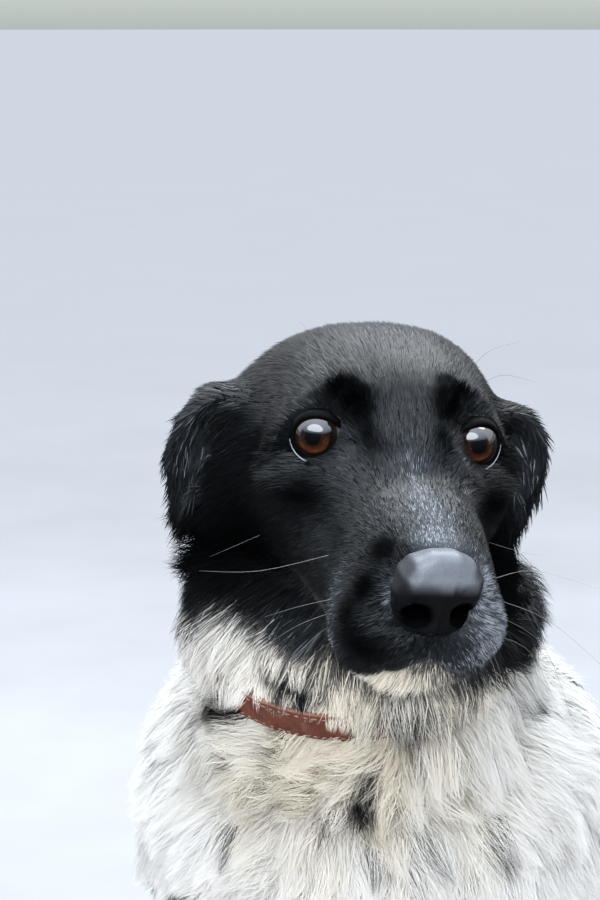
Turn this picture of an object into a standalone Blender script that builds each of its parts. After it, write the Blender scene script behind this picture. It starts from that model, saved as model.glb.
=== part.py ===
"""A sitting, medium-sized mixed-breed dog with a black head and a white coat, in a leather collar, life-size.

Every sub-part is one closed solid whose surface is the outline of the coat, out to the hair tips. Most are
lofts: a smooth path with an oval section at each station. Parts that meet are trimmed with a thin gap.
The dog faces -Y, its left side is +X, and it sits on the floor at z = 0.
"""

import math

import bmesh
import bpy
from mathutils import Matrix, Vector

# Driving dimensions, in metres and degrees
WITHERS_HEIGHT = 0.560  # of the standing dog; every table below is in thousandths of this dog's 560 mm
MM = WITHERS_HEIGHT / 560
GAP = 0.0004  # between two parts that touch

EYE_HEIGHT = 700 * MM
EYE_PLACE = (26 * MM, -200 * MM, EYE_HEIGHT)  # midpoint between the eyes
HEAD_TURN = 19.8  # to the dog's left
HEAD_NOD = 4.6  # nose down
HEAD_TILT = 5.0  # left eye lower

EYE_RADIUS = 11.2 * MM
EYE_CENTRE = (34.2, -5.5, 0.2)  # of the left eyeball, in MM in the head's frame
EYE_OUTWARD = (0.27, -0.95, 0.05)  # the way the left socket faces
SOCKET = [  # the hollow that holds the eyeball, along that direction: place, half width, half height
    (-12.4, 5, 5),
    (-9, 9.6, 9.6),
    (0, 12.6, 12.2),
    (8, 12.4, 10.6),
    (22, 14.5, 11.5),
]
COLLAR_CENTRE = (-5, -88.5, 579)  # in MM
COLLAR_HALF_AXES = (76, 74.6)  # to the strap's inside, in MM
COLLAR_TILT = 22  # lower in front
COLLAR_WIDTH = 15 * MM
COLLAR_THICKNESS = 3.4 * MM
BUCKLE = (21, 23, 3.2)  # across the strap, along it and thick, in MM
BUCKLE_BAR = 3.2
CLAW_LENGTH = 10.5 * MM
CLAW_RADIUS = 3.2 * MM

BLACK_COAT = (0.012, 0.012, 0.014)
WHITE_COAT = (0.80, 0.77, 0.70)
LEATHER = (0.16, 0.055, 0.035)

# Stations of the lofts, in MM: path x, y, z, then the section's half width and reach to the back and front
TORSO = [
    (-12, -106, 690, 50, 38, 44),  # inside the head
    (-10, -103, 668, 68, 54, 58),
    (-7, -97, 638, 80, 62, 69),
    (-2, -91, 604, 91, 67, 80),  # ruff below the cheeks
    (-5, -82, 581, 74, 66, 79),  # pressed in by the collar
    (-3, -70, 552, 92, 82, 100),
    (-2, -54, 516, 121, 95, 119),  # neck base
    (-1, -28, 470, 130, 105, 129),  # withers and forechest
    (0, 10, 420, 127, 112, 129),
    (0, 60, 362, 118, 110, 122),  # ribs
    (0, 115, 298, 109, 102, 104),
    (0, 172, 232, 104, 95, 84),  # loin
    (0, 222, 170, 110, 92, 82),
    (0, 262, 112, 114, 80, 80),  # rump
    (0, 286, 60, 106, 64, 74),
    (0, 296, 15, 92, 50, 64),
    (0, 298, -22, 60, 34, 44),
]
UPPER_ARM = [
    (66, -2, 500, 14, 20, 18),
    (73, -10, 478, 32, 42, 38),
    (79, -22, 440, 39, 54, 52),
    (82, -38, 390, 41, 56, 53),
    (82, -42, 335, 39, 50, 46),
    (82, -37, 292, 37, 45, 40),
    (82, -36, 268, 26, 32, 28),
]
FORELEG = [
    (82, -34, 318, 24, 26, 24),
    (82, -38, 285, 34, 42, 34),
    (80, -48, 240, 31, 36, 31),
    (78, -60, 180, 27, 30, 27),
    (76, -71, 120, 25, 27, 26),  # wrist
    (75, -78, 80, 24, 26, 25),
    (75, -84, 45, 26, 27, 28),
    (75, -90, 15, 27, 27, 30),
    (75, -92, -8, 25, 25, 28),
]
THIGH = [
    (116, 24, 204, 22, 24, 24),  # knee
    (117, 50, 210, 40, 48, 50),
    (110, 98, 212, 49, 68, 76),
    (99, 155, 200, 54, 80, 92),
    (86, 215, 172, 56, 82, 98),
    (70, 262, 130, 50, 66, 84),
    (60, 288, 95, 34, 40, 52),
]
SHANK = [
    (118, 48, 196, 28, 30, 30),
    (117, 82, 156, 30, 36, 33),
    (114, 128, 104, 25, 28, 26),
    (112, 165, 66, 21, 22, 20),
    (111, 188, 44, 18, 18, 17),
    (111, 196, 36, 12, 12, 12),
]
HIND_FOOT = [
    (123, 30, 14, 26, 17, 24),
    (122, 48, 18, 29, 20, 26),
    (119, 82, 20, 24, 19, 24),
    (116, 122, 21, 19, 18, 24),
    (113, 162, 24, 18, 19, 27),
    (111, 192, 29, 17, 20, 32),
    (110, 206, 34, 12, 14, 20),
]
TAIL = [
    (0, 305, 118, 18, 20, 20),
    (4, 340, 92, 27, 29, 29),
    (22, 374, 56, 33, 33, 34),
    (60, 396, 36, 35, 34, 38),
    (108, 398, 33, 35, 33, 38),
    (156, 374, 31, 33, 31, 36),
    (192, 330, 28, 29, 28, 33),
    (208, 286, 22, 20, 20, 27),
    (210, 262, 16, 8, 8, 14),
]
# The head's stations are in its own frame: origin between the eyes, nose towards -Y
SKULL = [
    # y, top, bottom, half width
    (-104, -33, -61, 11),
    (-100.5, -24, -71, 20.5),  # lips below the nose
    (-90, -17, -77, 27),
    (-75, -14, -80, 31),
    (-60, -11, -81, 34.5),
    (-45, -8, -81, 37),
    (-32, -5, -81, 39.5),
    (-20, 2, -82, 43),  # stop
    (-9, 13, -83, 48.5),
    (3, 24, -85, 54),  # brow
    (16, 31, -87, 58.5),
    (35, 36.5, -89, 62.5),
    (58, 37, -91, 65),  # crown
    (82, 31, -88, 64),
    (104, 18, -80, 57),
    (120, 0, -66, 43),  # occiput
    (128, -18, -50, 22),
]
JAW = [
    (-93, -70, -80, 9),
    (-88, -66, -83.5, 17),  # chin
    (-75, -64, -88, 22),
    (-55, -64, -92, 24),
    (-30, -64, -96, 25),
    (-5, -66, -98, 25),
    (15, -70, -96, 23),
    (25, -76, -90, 15),
]
NOSE = [
    (-86, -22, -40, 13),
    (-92, -18.5, -48, 17),
    (-99, -18, -53, 18.5),
    (-105, -20, -54, 17.5),
    (-109, -25, -50, 13),
    (-110.5, -31, -44, 7),
]
EAR = [
    (44, 58, -4, 16, 7, 7),
    (58, 64, 0, 25, 8, 7),
    (70, 68, -7, 31, 8, 7),  # the fold
    (77, 71, -23, 31, 8, 7),
    (78, 72, -40, 27, 7, 6),
    (76, 71, -57, 18, 5, 5),
    (73, 70, -72, 7, 3, 3),
]
# The head's modelling strokes: place, radius, push. Each is made on both sides.
HEAD_STROKES = {
    "orbit": ((44, -4, -3), (12, 14, 15), (3.5, -5.5, 0)),
    "inner corner": ((24, -22, -8), (12, 14, 12), (-3, 1.5, 0)),
    "brow": ((27, -8, 20), (15, 14, 12), (1, -4, 2)),
    "cheekbone": ((52, -2, -22), (16, 22, 16), (3, -2.5, 0)),
    "muzzle side": ((38, -30, -36), (14, 26, 20), (-4, 0, 0)),
    "whisker pad": ((31, -78, -62), (18, 20, 15), (8, -2, -0.5)),
    "hanging lip": ((30, -64, -78), (14, 26, 11), (5, 0, -1.5)),
    "lip notch": ((0, -98, -74), (8, 16, 12), (0, 2, 7)),
    "temple": ((52, 34, 20), (16, 26, 18), (-2.0, 0, 0)),
    "stop furrow": ((0, -12, 14), (7, 16, 14), (0, 2.5, -1.2)),
    "crown furrow": ((0, 24, 37), (7, 30, 12), (0, 0, -1.6)),
    "cheek": ((60, 40, -52), (26, 34, 26), (4, 0, -2)),
    "ruff": ((62, 68, -62), (26, 28, 28), (13, 3, -5)),
    "lean of the crown": ((0, 80, 20), (60, 50, 50), (9, 0, 0)),
}
NOSE_STROKES = {
    "nostril": ((7.8, -110, -37), (5.2, 9, 5.6), (0.8, 5.5, 0.8)),
    "wing slit": ((15.0, -106, -42), (5.0, 7, 3.0), (-1.6, 2.6, 0)),
    "wing": ((12.5, -107, -31), (6, 7, 6), (1.6, -1.2, 0.6)),
}
TOES = [(-20.5, 12), (-7.4, 0), (7.4, 0), (20.5, 12)]  # sideways place, and how far behind the longest
TOE_REACH, TOE_HALF_WIDTH, TOE_HEIGHT = 24, 10.2, 15.5
PAW = (26, 36, 24)  # half axes of the paw behind the toes


def clear_scene():
    for item in list(bpy.data.objects):
        bpy.data.objects.remove(item, do_unlink=True)


def finish(name, colour, roughness, metallic=0.0):
    """A Principled material for one sub-part."""
    made = bpy.data.materials.new(name)
    made.use_nodes = True
    shader = made.node_tree.nodes["Principled BSDF"]
    shader.inputs["Base Color"].default_value = (*colour, 1)
    shader.inputs["Roughness"].default_value = roughness
    shader.inputs["Metallic"].default_value = metallic
    return made


def scaled(rows, side=1):
    """The rows in metres, mirrored to the right side of the body when side is -1."""
    return [(row[0] * MM * side, *(value * MM for value in row[1:])) for row in rows]


def upright(rows):
    """Head stations given by their top and bottom, as path stations."""
    found = []
    for y, top, bottom, half_width in rows:
        half_height = (top - bottom) / 2
        found.append((0, y, bottom + half_height, half_width, half_height, half_height))
    return scaled(found)


def spline(rows, count):
    """count rows on a Catmull-Rom curve through the given rows."""
    found = []
    last = len(rows) - 1
    for step in range(count):
        place = step / (count - 1) * last
        first = min(int(place), last - 1)
        t = place - first
        knots = [rows[min(max(first + k, 0), last)] for k in (-1, 0, 1, 2)]
        found.append(
            [
                b + 0.5 * t * (c - a + t * (2 * a - 5 * b + 4 * c - d + t * (3 * (b - c) + d - a)))
                for a, b, c, d in zip(*knots)
            ]
        )
    return found


def loft(name, rows, rings, around, material, side_axis=(1, 0, 0), square=2.0):
    """A closed body of oval sections across a smooth path. square above 2 makes the sections boxier."""
    stations = spline(rows, rings)
    centres = [Vector(row[:3]) for row in stations]
    side = Vector(side_axis)
    bm = bmesh.new()
    loops = []
    for index, row in enumerate(stations):
        ahead = centres[min(index + 1, rings - 1)] - centres[max(index - 1, 0)]
        ahead.normalize()
        side = (side - side.dot(ahead) * ahead).normalized()
        back = side.cross(ahead)
        half_width, to_back, to_front = row[3:6]
        loop = []
        for k in range(around):
            angle = 2 * math.pi * k / around
            across = math.copysign(abs(math.cos(angle)) ** (2 / square), math.cos(angle))
            along = math.copysign(abs(math.sin(angle)) ** (2 / square), math.sin(angle))
            reach = to_back if along > 0 else to_front
            loop.append(bm.verts.new(centres[index] + side * across * half_width + back * along * reach))
        loops.append(loop)
    for first, second in zip(loops, loops[1:]):
        for k in range(around):
            after = (k + 1) % around
            bm.faces.new((first[k], first[after], second[after], second[k]))
    bm.faces.new(reversed(loops[0]))
    bm.faces.new(loops[-1])
    bmesh.ops.recalc_face_normals(bm, faces=bm.faces)
    return as_object(name, bm, material)


def as_object(name, bm, material):
    bmesh.ops.triangulate(bm, faces=bm.faces)
    mesh = bpy.data.meshes.new(name)
    bm.to_mesh(mesh)
    bm.free()
    mesh.shade_smooth()
    made = bpy.data.objects.new(name, mesh)
    if material:
        mesh.materials.append(material)
    DOG.objects.link(made)
    return made


def stroke(target, strokes):
    """Pushes the surface near each named place, on the left side and its mirror image on the right."""
    for place, radii, push in strokes.values():
        sides = (1, -1) if place[0] else (1,)
        for vertex in target.data.vertices:
            for side in sides:
                offset = [
                    (vertex.co[k] / MM - place[k] * (side if k == 0 else 1)) / radii[k] for k in range(3)
                ]
                weight = math.exp(-sum(value * value for value in offset))
                vertex.co += Vector((push[0] * side, push[1], push[2])) * MM * weight


def evaluated_mesh(target):
    """The target's mesh with its modifiers applied."""
    bpy.context.view_layer.update()
    graph = bpy.context.evaluated_depsgraph_get()
    return bpy.data.meshes.new_from_object(target.evaluated_get(graph))


def combine(target, other, operation):
    """Joins other to target, or cuts it from target, for good."""
    modifier = target.modifiers.new(operation.lower(), "BOOLEAN")
    modifier.operation = operation
    modifier.object = other
    mesh = evaluated_mesh(target)
    target.modifiers.remove(modifier)
    target.data = mesh


def swollen(source, amount):
    """A cutter: source with its faces moved outwards by amount."""
    bm = bmesh.new()
    bm.from_mesh(source.data)
    moves = [(vertex, vertex.normal * min(vertex.calc_shell_factor(), 2) * amount) for vertex in bm.verts]
    for vertex, move in moves:
        vertex.co += move
    cutter = as_object("cutter", bm, None)
    cutter.matrix_world = source.matrix_world
    return cutter


def trim(target, *neighbours, gap=GAP):
    """Cuts each neighbour's shape from the target, leaving the gap."""
    for neighbour in neighbours:
        cutter = swollen(neighbour, gap)
        combine(target, cutter, "DIFFERENCE")
        bpy.data.objects.remove(cutter, do_unlink=True)


def slice_off(target, point, normal):
    """Removes what lies beyond a plane in world space, on its normal's side, and closes the cut."""
    into_target = target.matrix_world.inverted()
    bm = bmesh.new()
    bm.from_mesh(target.data)
    cut = bmesh.ops.bisect_plane(
        bm,
        geom=bm.verts[:] + bm.edges[:] + bm.faces[:],
        dist=1e-7,
        plane_co=into_target @ Vector(point),
        plane_no=into_target.to_3x3() @ Vector(normal),
        clear_outer=True,
    )
    edges = [item for item in cut["geom_cut"] if isinstance(item, bmesh.types.BMEdge)]
    bmesh.ops.triangle_fill(bm, edges=edges, use_beauty=True)
    bmesh.ops.recalc_face_normals(bm, faces=bm.faces)
    bm.to_mesh(target.data)
    bm.free()


def split(target, name, point, normal):
    """Parts the target with a thin cut. The new part lies on the normal's side."""
    beyond = target.copy()
    beyond.data = target.data.copy()
    beyond.name = name
    DOG.objects.link(beyond)
    direction = Vector(normal).normalized()
    slice_off(target, Vector(point) - direction * GAP / 2, direction)
    slice_off(beyond, Vector(point) + direction * GAP / 2, -direction)
    return beyond


def level(target):
    """Gives the target a flat underside at floor height."""
    slice_off(target, (0, 0, 0), (0, 0, -1))


def build_torso():
    trunk = loft("trunk", scaled(TORSO), 22, 14, WHITE)
    level(trunk)
    return trunk


def build_collar():
    """A flat strap: a square section swept round the neck, lower in front."""
    centre = Vector(COLLAR_CENTRE) * MM
    half_width, half_depth = (value * MM for value in COLLAR_HALF_AXES)
    tilt = Matrix.Rotation(math.radians(COLLAR_TILT), 4, "X")
    bm = bmesh.new()
    steps = 24
    corners = [(0, -0.5), (1, -0.5), (1, 0.5), (0, 0.5)]
    loops = []
    for k in range(steps):
        angle = 2 * math.pi * k / steps
        outward = Vector((math.cos(angle) / half_width, math.sin(angle) / half_depth, 0)).normalized()
        rim = Vector((math.cos(angle) * half_width, math.sin(angle) * half_depth, 0))
        loop = []
        for out, high in corners:
            corner = rim + outward * COLLAR_THICKNESS * out + Vector((0, 0, COLLAR_WIDTH * high))
            loop.append(bm.verts.new(centre + tilt @ corner))
        loops.append(loop)
    for first, second in zip(loops, loops[1:] + loops[:1]):
        for k in range(4):
            after = (k + 1) % 4
            bm.faces.new((first[k], second[k], second[after], first[after]))
    bmesh.ops.recalc_face_normals(bm, faces=bm.faces)
    return as_object("collar", bm, STRAP)


def box(name, centre, turn, size, material=None):
    bm = bmesh.new()
    bmesh.ops.create_cube(bm, size=1)
    place = Matrix.Translation(centre) @ turn @ Matrix.Diagonal((*size, 1))
    bmesh.ops.transform(bm, matrix=place, verts=bm.verts)
    return as_object(name, bm, material)


def build_buckle():
    """A plain frame with a middle bar, flat on the strap at the back of the neck."""
    high, wide, thick = (value * MM for value in BUCKLE)
    bar = BUCKLE_BAR * MM
    tilt = Matrix.Rotation(math.radians(COLLAR_TILT), 4, "X")
    out = COLLAR_HALF_AXES[1] * MM + COLLAR_THICKNESS + GAP + thick / 2
    centre = Vector(COLLAR_CENTRE) * MM
    buckle = box("collar_buckle", centre + tilt @ Vector((0, out, 0)), tilt, (wide, thick, high), BRASS)
    for side in (1, -1):
        width = wide / 2 - bar * 1.5
        place = Vector((side * (width + bar) / 2, out, 0))
        window = box("window", centre + tilt @ place, tilt, (width, thick * 2, high - 2 * bar))
        combine(buckle, window, "DIFFERENCE")
        bpy.data.objects.remove(window, do_unlink=True)
    return buckle


def build_head():
    """The head's parts in its own frame: skull, jaw, nose, eyes and ears."""
    head = loft("head", upright(SKULL), 26, 20, BLACK, square=2.35)
    stroke(head, HEAD_STROKES)
    jaw = loft("lower_jaw", upright(JAW), 9, 12, WHITE, square=2.2)
    nose = loft("nose", upright(NOSE), 9, 14, NOSE_LEATHER, square=2.3)
    stroke(nose, NOSE_STROKES)
    ears = []
    for label, side in (("left", 1), ("right", -1)):
        ear = loft("ear_" + label, scaled(EAR, side), 9, 10, BLACK, side_axis=(0, side, 0))
        trim(ear, head)
        ears.append(ear)
    eyes = [build_eye("eye_left", 1, head), build_eye("eye_right", -1, head)]
    trim(head, nose, jaw)
    parts = [head, jaw, nose, *ears, *eyes]
    for part in parts:
        part.matrix_world = HEAD_POSE
    return [head, jaw, *ears]


def ellipsoid(name, centre, turn, half_axes, segments, material=None):
    bm = bmesh.new()
    bmesh.ops.create_uvsphere(bm, u_segments=segments[0], v_segments=segments[1], radius=1)
    place = Matrix.Translation(centre) @ turn @ Matrix.Diagonal((*half_axes, 1))
    bmesh.ops.transform(bm, matrix=place, verts=bm.verts)
    return as_object(name, bm, material)


def build_eye(name, side, head):
    """An eyeball, and the hollow that holds it in the head."""
    centre = Vector((EYE_CENTRE[0] * side, EYE_CENTRE[1], EYE_CENTRE[2])) * MM
    outward = Vector((EYE_OUTWARD[0] * side, EYE_OUTWARD[1], EYE_OUTWARD[2])).normalized()
    rows = [(*(centre + outward * place * MM), w * MM, h * MM, h * MM) for place, w, h in SOCKET]
    hollow = loft("hollow", rows, 7, 12, None)
    combine(head, hollow, "DIFFERENCE")
    bpy.data.objects.remove(hollow, do_unlink=True)
    facing = outward.to_track_quat("Z", "Y").to_matrix().to_4x4()
    return ellipsoid(name, centre, facing, [EYE_RADIUS] * 3, (12, 8), EYE)


def add_ball(target, centre, half_axes, segments):
    ball = ellipsoid("ball", Vector(centre) * MM, Matrix.Identity(4), Vector(half_axes) * MM, segments)
    combine(target, ball, "UNION")
    bpy.data.objects.remove(ball, do_unlink=True)


def build_toes(paw, x, front, z, label, side):
    """Rounds the paw, adds four toes to it and makes their claws, which are parts of their own."""
    add_ball(paw, (x * side, front + PAW[1] + 8, z - 2), PAW, (8, 4))
    claws = []
    for number, (across, behind) in enumerate(TOES, 1):
        centre = ((x + across) * side, front + behind + TOE_REACH, z)
        add_ball(paw, centre, (TOE_HALF_WIDTH, TOE_REACH, TOE_HEIGHT), (6, 3))
        claws.append(build_claw(f"claw_{label}_{number}", Vector(centre) * MM))
    return claws


def build_claw(name, toe_centre):
    """A curved cone that leaves the toe's front and bends down."""
    rows = []
    for step in range(5):
        share = step / 4
        forward = TOE_REACH * MM - 5 * MM + CLAW_LENGTH * share
        drop = 1 * MM - 6 * MM * share * share
        radius = CLAW_RADIUS * (1 - 0.75 * share)
        rows.append((toe_centre.x, toe_centre.y - forward, toe_centre.z + drop, radius * 0.8, radius, radius))
    return loft(name, rows, 4, 5, CLAW)


def build_foreleg(label, side):
    arm = loft(f"upper_arm_{label}", scaled(UPPER_ARM, side), 9, 10, WHITE)
    leg = loft(f"forearm_{label}", scaled(FORELEG, side), 12, 10, WHITE)
    paw = split(leg, f"front_paw_{label}", (0, 0, 70 * MM), (0, 0, -1))
    claws = build_toes(paw, 75, -152, 15, f"front_{label}", side)
    level(paw)
    trim(leg, arm)
    return {"arm": arm, "leg": leg, "paw": paw, "claws": claws}


def build_hind_leg(label, side):
    thigh = loft(f"thigh_{label}", scaled(THIGH, side), 10, 13, WHITE)
    shank = loft(f"shank_{label}", scaled(SHANK, side), 7, 10, WHITE)
    foot = loft(f"hind_foot_{label}", scaled(HIND_FOOT, side), 7, 8, WHITE)
    claws = build_toes(foot, 123, -4, 14, f"hind_{label}", side)
    level(foot)
    trim(shank, thigh, foot)
    trim(foot, thigh)
    return {"thigh": thigh, "shank": shank, "foot": foot, "claws": claws}


def build_tail():
    tail = loft("tail_base", scaled(TAIL), 15, 11, WHITE)
    level(tail)
    tip = split(tail, "tail_tip", (110 * MM, 0, 0), (1, 0, 0))
    return tail, tip


def settle():
    """Moves the dog so that the origin is under the middle of its bounding box."""
    bpy.context.view_layer.update()
    corners = [item.matrix_world @ vertex.co for item in DOG.objects for vertex in item.data.vertices]
    middle = [(min(c[k] for c in corners) + max(c[k] for c in corners)) / 2 for k in (0, 1)]
    shift = Matrix.Translation((-middle[0], -middle[1], 0))
    for item in DOG.objects:
        item.matrix_world = shift @ item.matrix_world


def build_dog():
    head_parts = build_head()
    trunk = build_torso()
    collar = build_collar()
    buckle = build_buckle()
    tail, tail_tip = build_tail()
    limbs = []
    for label, side in (("left", 1), ("right", -1)):
        fore = build_foreleg(label, side)
        hind = build_hind_leg(label, side)
        limbs += [fore["arm"], fore["leg"], hind["thigh"], hind["shank"], hind["foot"]]
        trim(fore["paw"], *fore["claws"])
        trim(hind["foot"], *hind["claws"])
    trim(trunk, *head_parts[2:], gap=2 * GAP)
    trim(trunk, *head_parts[:2], *limbs, tail, collar, buckle)
    split(trunk, "neck", (0, -62 * MM, 530 * MM), (0, -0.35, 1))


clear_scene()
DOG = bpy.data.collections.new("dog")
bpy.context.scene.collection.children.link(DOG)
BLACK = finish("black_coat", BLACK_COAT, 0.6)
WHITE = finish("white_coat", WHITE_COAT, 0.8)
NOSE_LEATHER = finish("nose_leather", (0.02, 0.02, 0.022), 0.35)
EYE = finish("eye", (0.10, 0.035, 0.012), 0.05)
CLAW = finish("claw", (0.09, 0.08, 0.07), 0.4)
STRAP = finish("collar_leather", LEATHER, 0.5)
BRASS = finish("buckle_metal", (0.45, 0.40, 0.32), 0.3, 1.0)
HEAD_POSE = Matrix.Translation(EYE_PLACE) @ (
    Matrix.Rotation(math.radians(HEAD_TURN), 4, "Z")
    @ Matrix.Rotation(math.radians(HEAD_NOD), 4, "X")
    @ Matrix.Rotation(math.radians(HEAD_TILT), 4, "Y")
)
build_dog()
settle()
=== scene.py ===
"""A sitting dog with a black head and a marbled white coat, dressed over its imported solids.

One skin stands for all the flesh. It lies inside the solids by the depth of the coat, and tufts of hair
rooted on it reach out to them. Eyes, lids, nose leather, whiskers, claws, collar and buckle are pieces of
their own. Tables are in millimetres, in the dog's frame (x to its left, -y ahead, z up) or in the head's.
"""

import math

import bmesh
import bpy
import numpy as np
from mathutils import Matrix, Vector
from mathutils.bvhtree import BVHTree


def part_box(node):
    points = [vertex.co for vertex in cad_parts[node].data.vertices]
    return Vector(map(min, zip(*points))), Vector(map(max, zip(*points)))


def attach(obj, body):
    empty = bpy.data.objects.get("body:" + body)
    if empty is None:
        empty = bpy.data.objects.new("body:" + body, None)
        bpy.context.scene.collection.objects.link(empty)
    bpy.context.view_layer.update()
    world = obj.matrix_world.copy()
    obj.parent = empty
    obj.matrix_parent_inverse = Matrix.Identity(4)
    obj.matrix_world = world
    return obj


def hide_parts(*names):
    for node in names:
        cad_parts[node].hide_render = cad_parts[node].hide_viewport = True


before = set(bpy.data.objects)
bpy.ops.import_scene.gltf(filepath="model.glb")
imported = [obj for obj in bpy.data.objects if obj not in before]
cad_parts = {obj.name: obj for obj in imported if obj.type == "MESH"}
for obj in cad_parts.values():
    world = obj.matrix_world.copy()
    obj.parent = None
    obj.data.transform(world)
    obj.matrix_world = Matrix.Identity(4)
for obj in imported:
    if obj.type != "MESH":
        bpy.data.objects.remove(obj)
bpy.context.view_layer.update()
MM = 0.001


def middle(node):
    low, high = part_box(node)
    return (low + high) / 2


# The two frames that the tables use
PAWS_MIDDLE = (middle("front_paw_left") + middle("front_paw_right")) / 2
COLLAR_AHEAD = 88.5  # of the dog frame's origin
DOG = Matrix.Translation((PAWS_MIDDLE.x, middle("collar").y + COLLAR_AHEAD * MM, 0))
HEAD_TURN, HEAD_NOD, HEAD_TILT = 19.8, 4.6, 5.0
EYE_CENTRE = (34.2, -5.5, 0.2)  # of the left eyeball in the head's frame
EYE_OUTWARD = (0.27, -0.95, 0.05)
EYE_RADIUS = 11.2
HEAD_ROTATION = (
    Matrix.Rotation(math.radians(HEAD_TURN), 4, "Z")
    @ Matrix.Rotation(math.radians(HEAD_NOD), 4, "X")
    @ Matrix.Rotation(math.radians(HEAD_TILT), 4, "Y")
)
EYES_MIDDLE = (middle("eye_left") + middle("eye_right")) / 2
HEAD = (
    Matrix.Translation(EYES_MIDDLE)
    @ HEAD_ROTATION
    @ Matrix.Translation((0, -EYE_CENTRE[1] * MM, -EYE_CENTRE[2] * MM))
)

COLLAR_HALF_AXES = (76, 74.6)
COLLAR_TILT, COLLAR_WIDTH, COLLAR_THICKNESS = 22, 15, 3.4
COLLAR = Matrix.Translation(middle("collar")) @ Matrix.Rotation(math.radians(COLLAR_TILT), 4, "X")

SEPARATE = ("eye", "claw", "collar", "nose")
FLESH = [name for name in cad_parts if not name.startswith(SEPARATE)]
SKIN_GRAIN = 5.0  # voxel of the skin's first mesh

# How the hair lies. Each line: place, the way it points, length, lift in degrees, reach of the line.
# Lines off the middle plane also hold for the other side.
HEAD_COMB = {
    "nose bridge": ((0, -94, -16), (0, 1, 0.1), 3.6, 12, 12),
    "bridge": ((0, -66, -10), (0, 1, 0.15), 5.2, 10, 18),
    "stop": ((0, -28, 2), (0, 0.8, 0.5), 6.0, 11, 16),
    "in the stop": ((0, -35, -3), (0, 0.8, 0.5), 6.0, 24, 9),
    "beside the stop": ((13, -34, -7), (0.2, 0.9, 0.25), 5.5, 24, 8),
    "forehead": ((0, 0, 26), (0, 0.5, 0.9), 8.5, 11, 18),
    "crown": ((0, 55, 38), (0, 1, -0.1), 12, 11, 34),
    "forehead side": ((26, 12, 30), (0.45, 0.85, 0.25), 9.5, 11, 16),
    "brow": ((22, -9, 21), (0.2, 0.5, 1), 6.5, 11, 8),
    "brow end": ((40, 2, 18), (0.7, 0.7, 0.2), 6.5, 11, 10),
    "inner corner": ((20, -26, -5), (0.3, 0.7, -0.5), 5, 11, 9),
    "below the eye": ((38, -22, -16), (0.4, 0.75, -0.6), 5.5, 11, 10),
    "outer corner": ((50, 4, 0), (0.35, 0.95, -0.1), 6, 11, 9),
    "temple": ((56, 28, 12), (0.2, 0.9, -0.4), 12, 11, 16),
    "muzzle side": ((33, -60, -38), (0.25, 0.9, -0.4), 6, 12, 18),
    "muzzle root": ((40, -28, -44), (0.3, 0.8, -0.55), 9, 13, 18),
    "whisker pad": ((30, -88, -56), (0.55, 0.6, -0.45), 5, 24, 12),
    "lip side": ((30, -78, -72), (0.4, 0.5, -0.8), 5, 28, 10),
    "under the nose": ((8, -104, -60), (0.6, 0.1, -0.8), 3, 22, 8),
    "lip front": ((16, -98, -68), (0.6, 0.1, -0.8), 4.5, 26, 8),
    "chin": ((10, -88, -82), (0.2, 0.35, -0.9), 9, 30, 11),
    "jaw": ((22, -45, -90), (0.35, 0.75, -0.55), 13, 26, 22),
    "cheek": ((50, 4, -38), (0.3, 0.75, -0.6), 13, 14, 20),
    "rear cheek": ((60, 42, -42), (0.35, 0.75, -0.5), 20, 22, 24),
    "lower cheek": ((54, 40, -78), (0.5, 0.55, -0.65), 30, 30, 24),
    "cheek tuft": ((66, 66, -80), (0.85, 0.4, -0.1), 40, 44, 18),
    "throat": ((18, 5, -100), (0.4, 0.6, -0.7), 20, 30, 24),
    "ear root": ((62, 44, 10), (0.9, 0.3, -0.3), 10, 13, 12),
    "ear fold": ((72, 68, -4), (0.5, 0.3, -0.8), 10, 9, 16),
    "ear flap": ((76, 72, -36), (0.1, 0.25, -1), 9, 8, 20),
    "ear tip": ((76, 70, -66), (0.05, 0.1, -1), 9, 9, 14),
    "occiput": ((0, 112, 2), (0, 0.6, -0.8), 15, 18, 30),
    "behind the ear": ((50, 100, -30), (0.3, 0.7, -0.7), 20, 20, 26),
}
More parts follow.
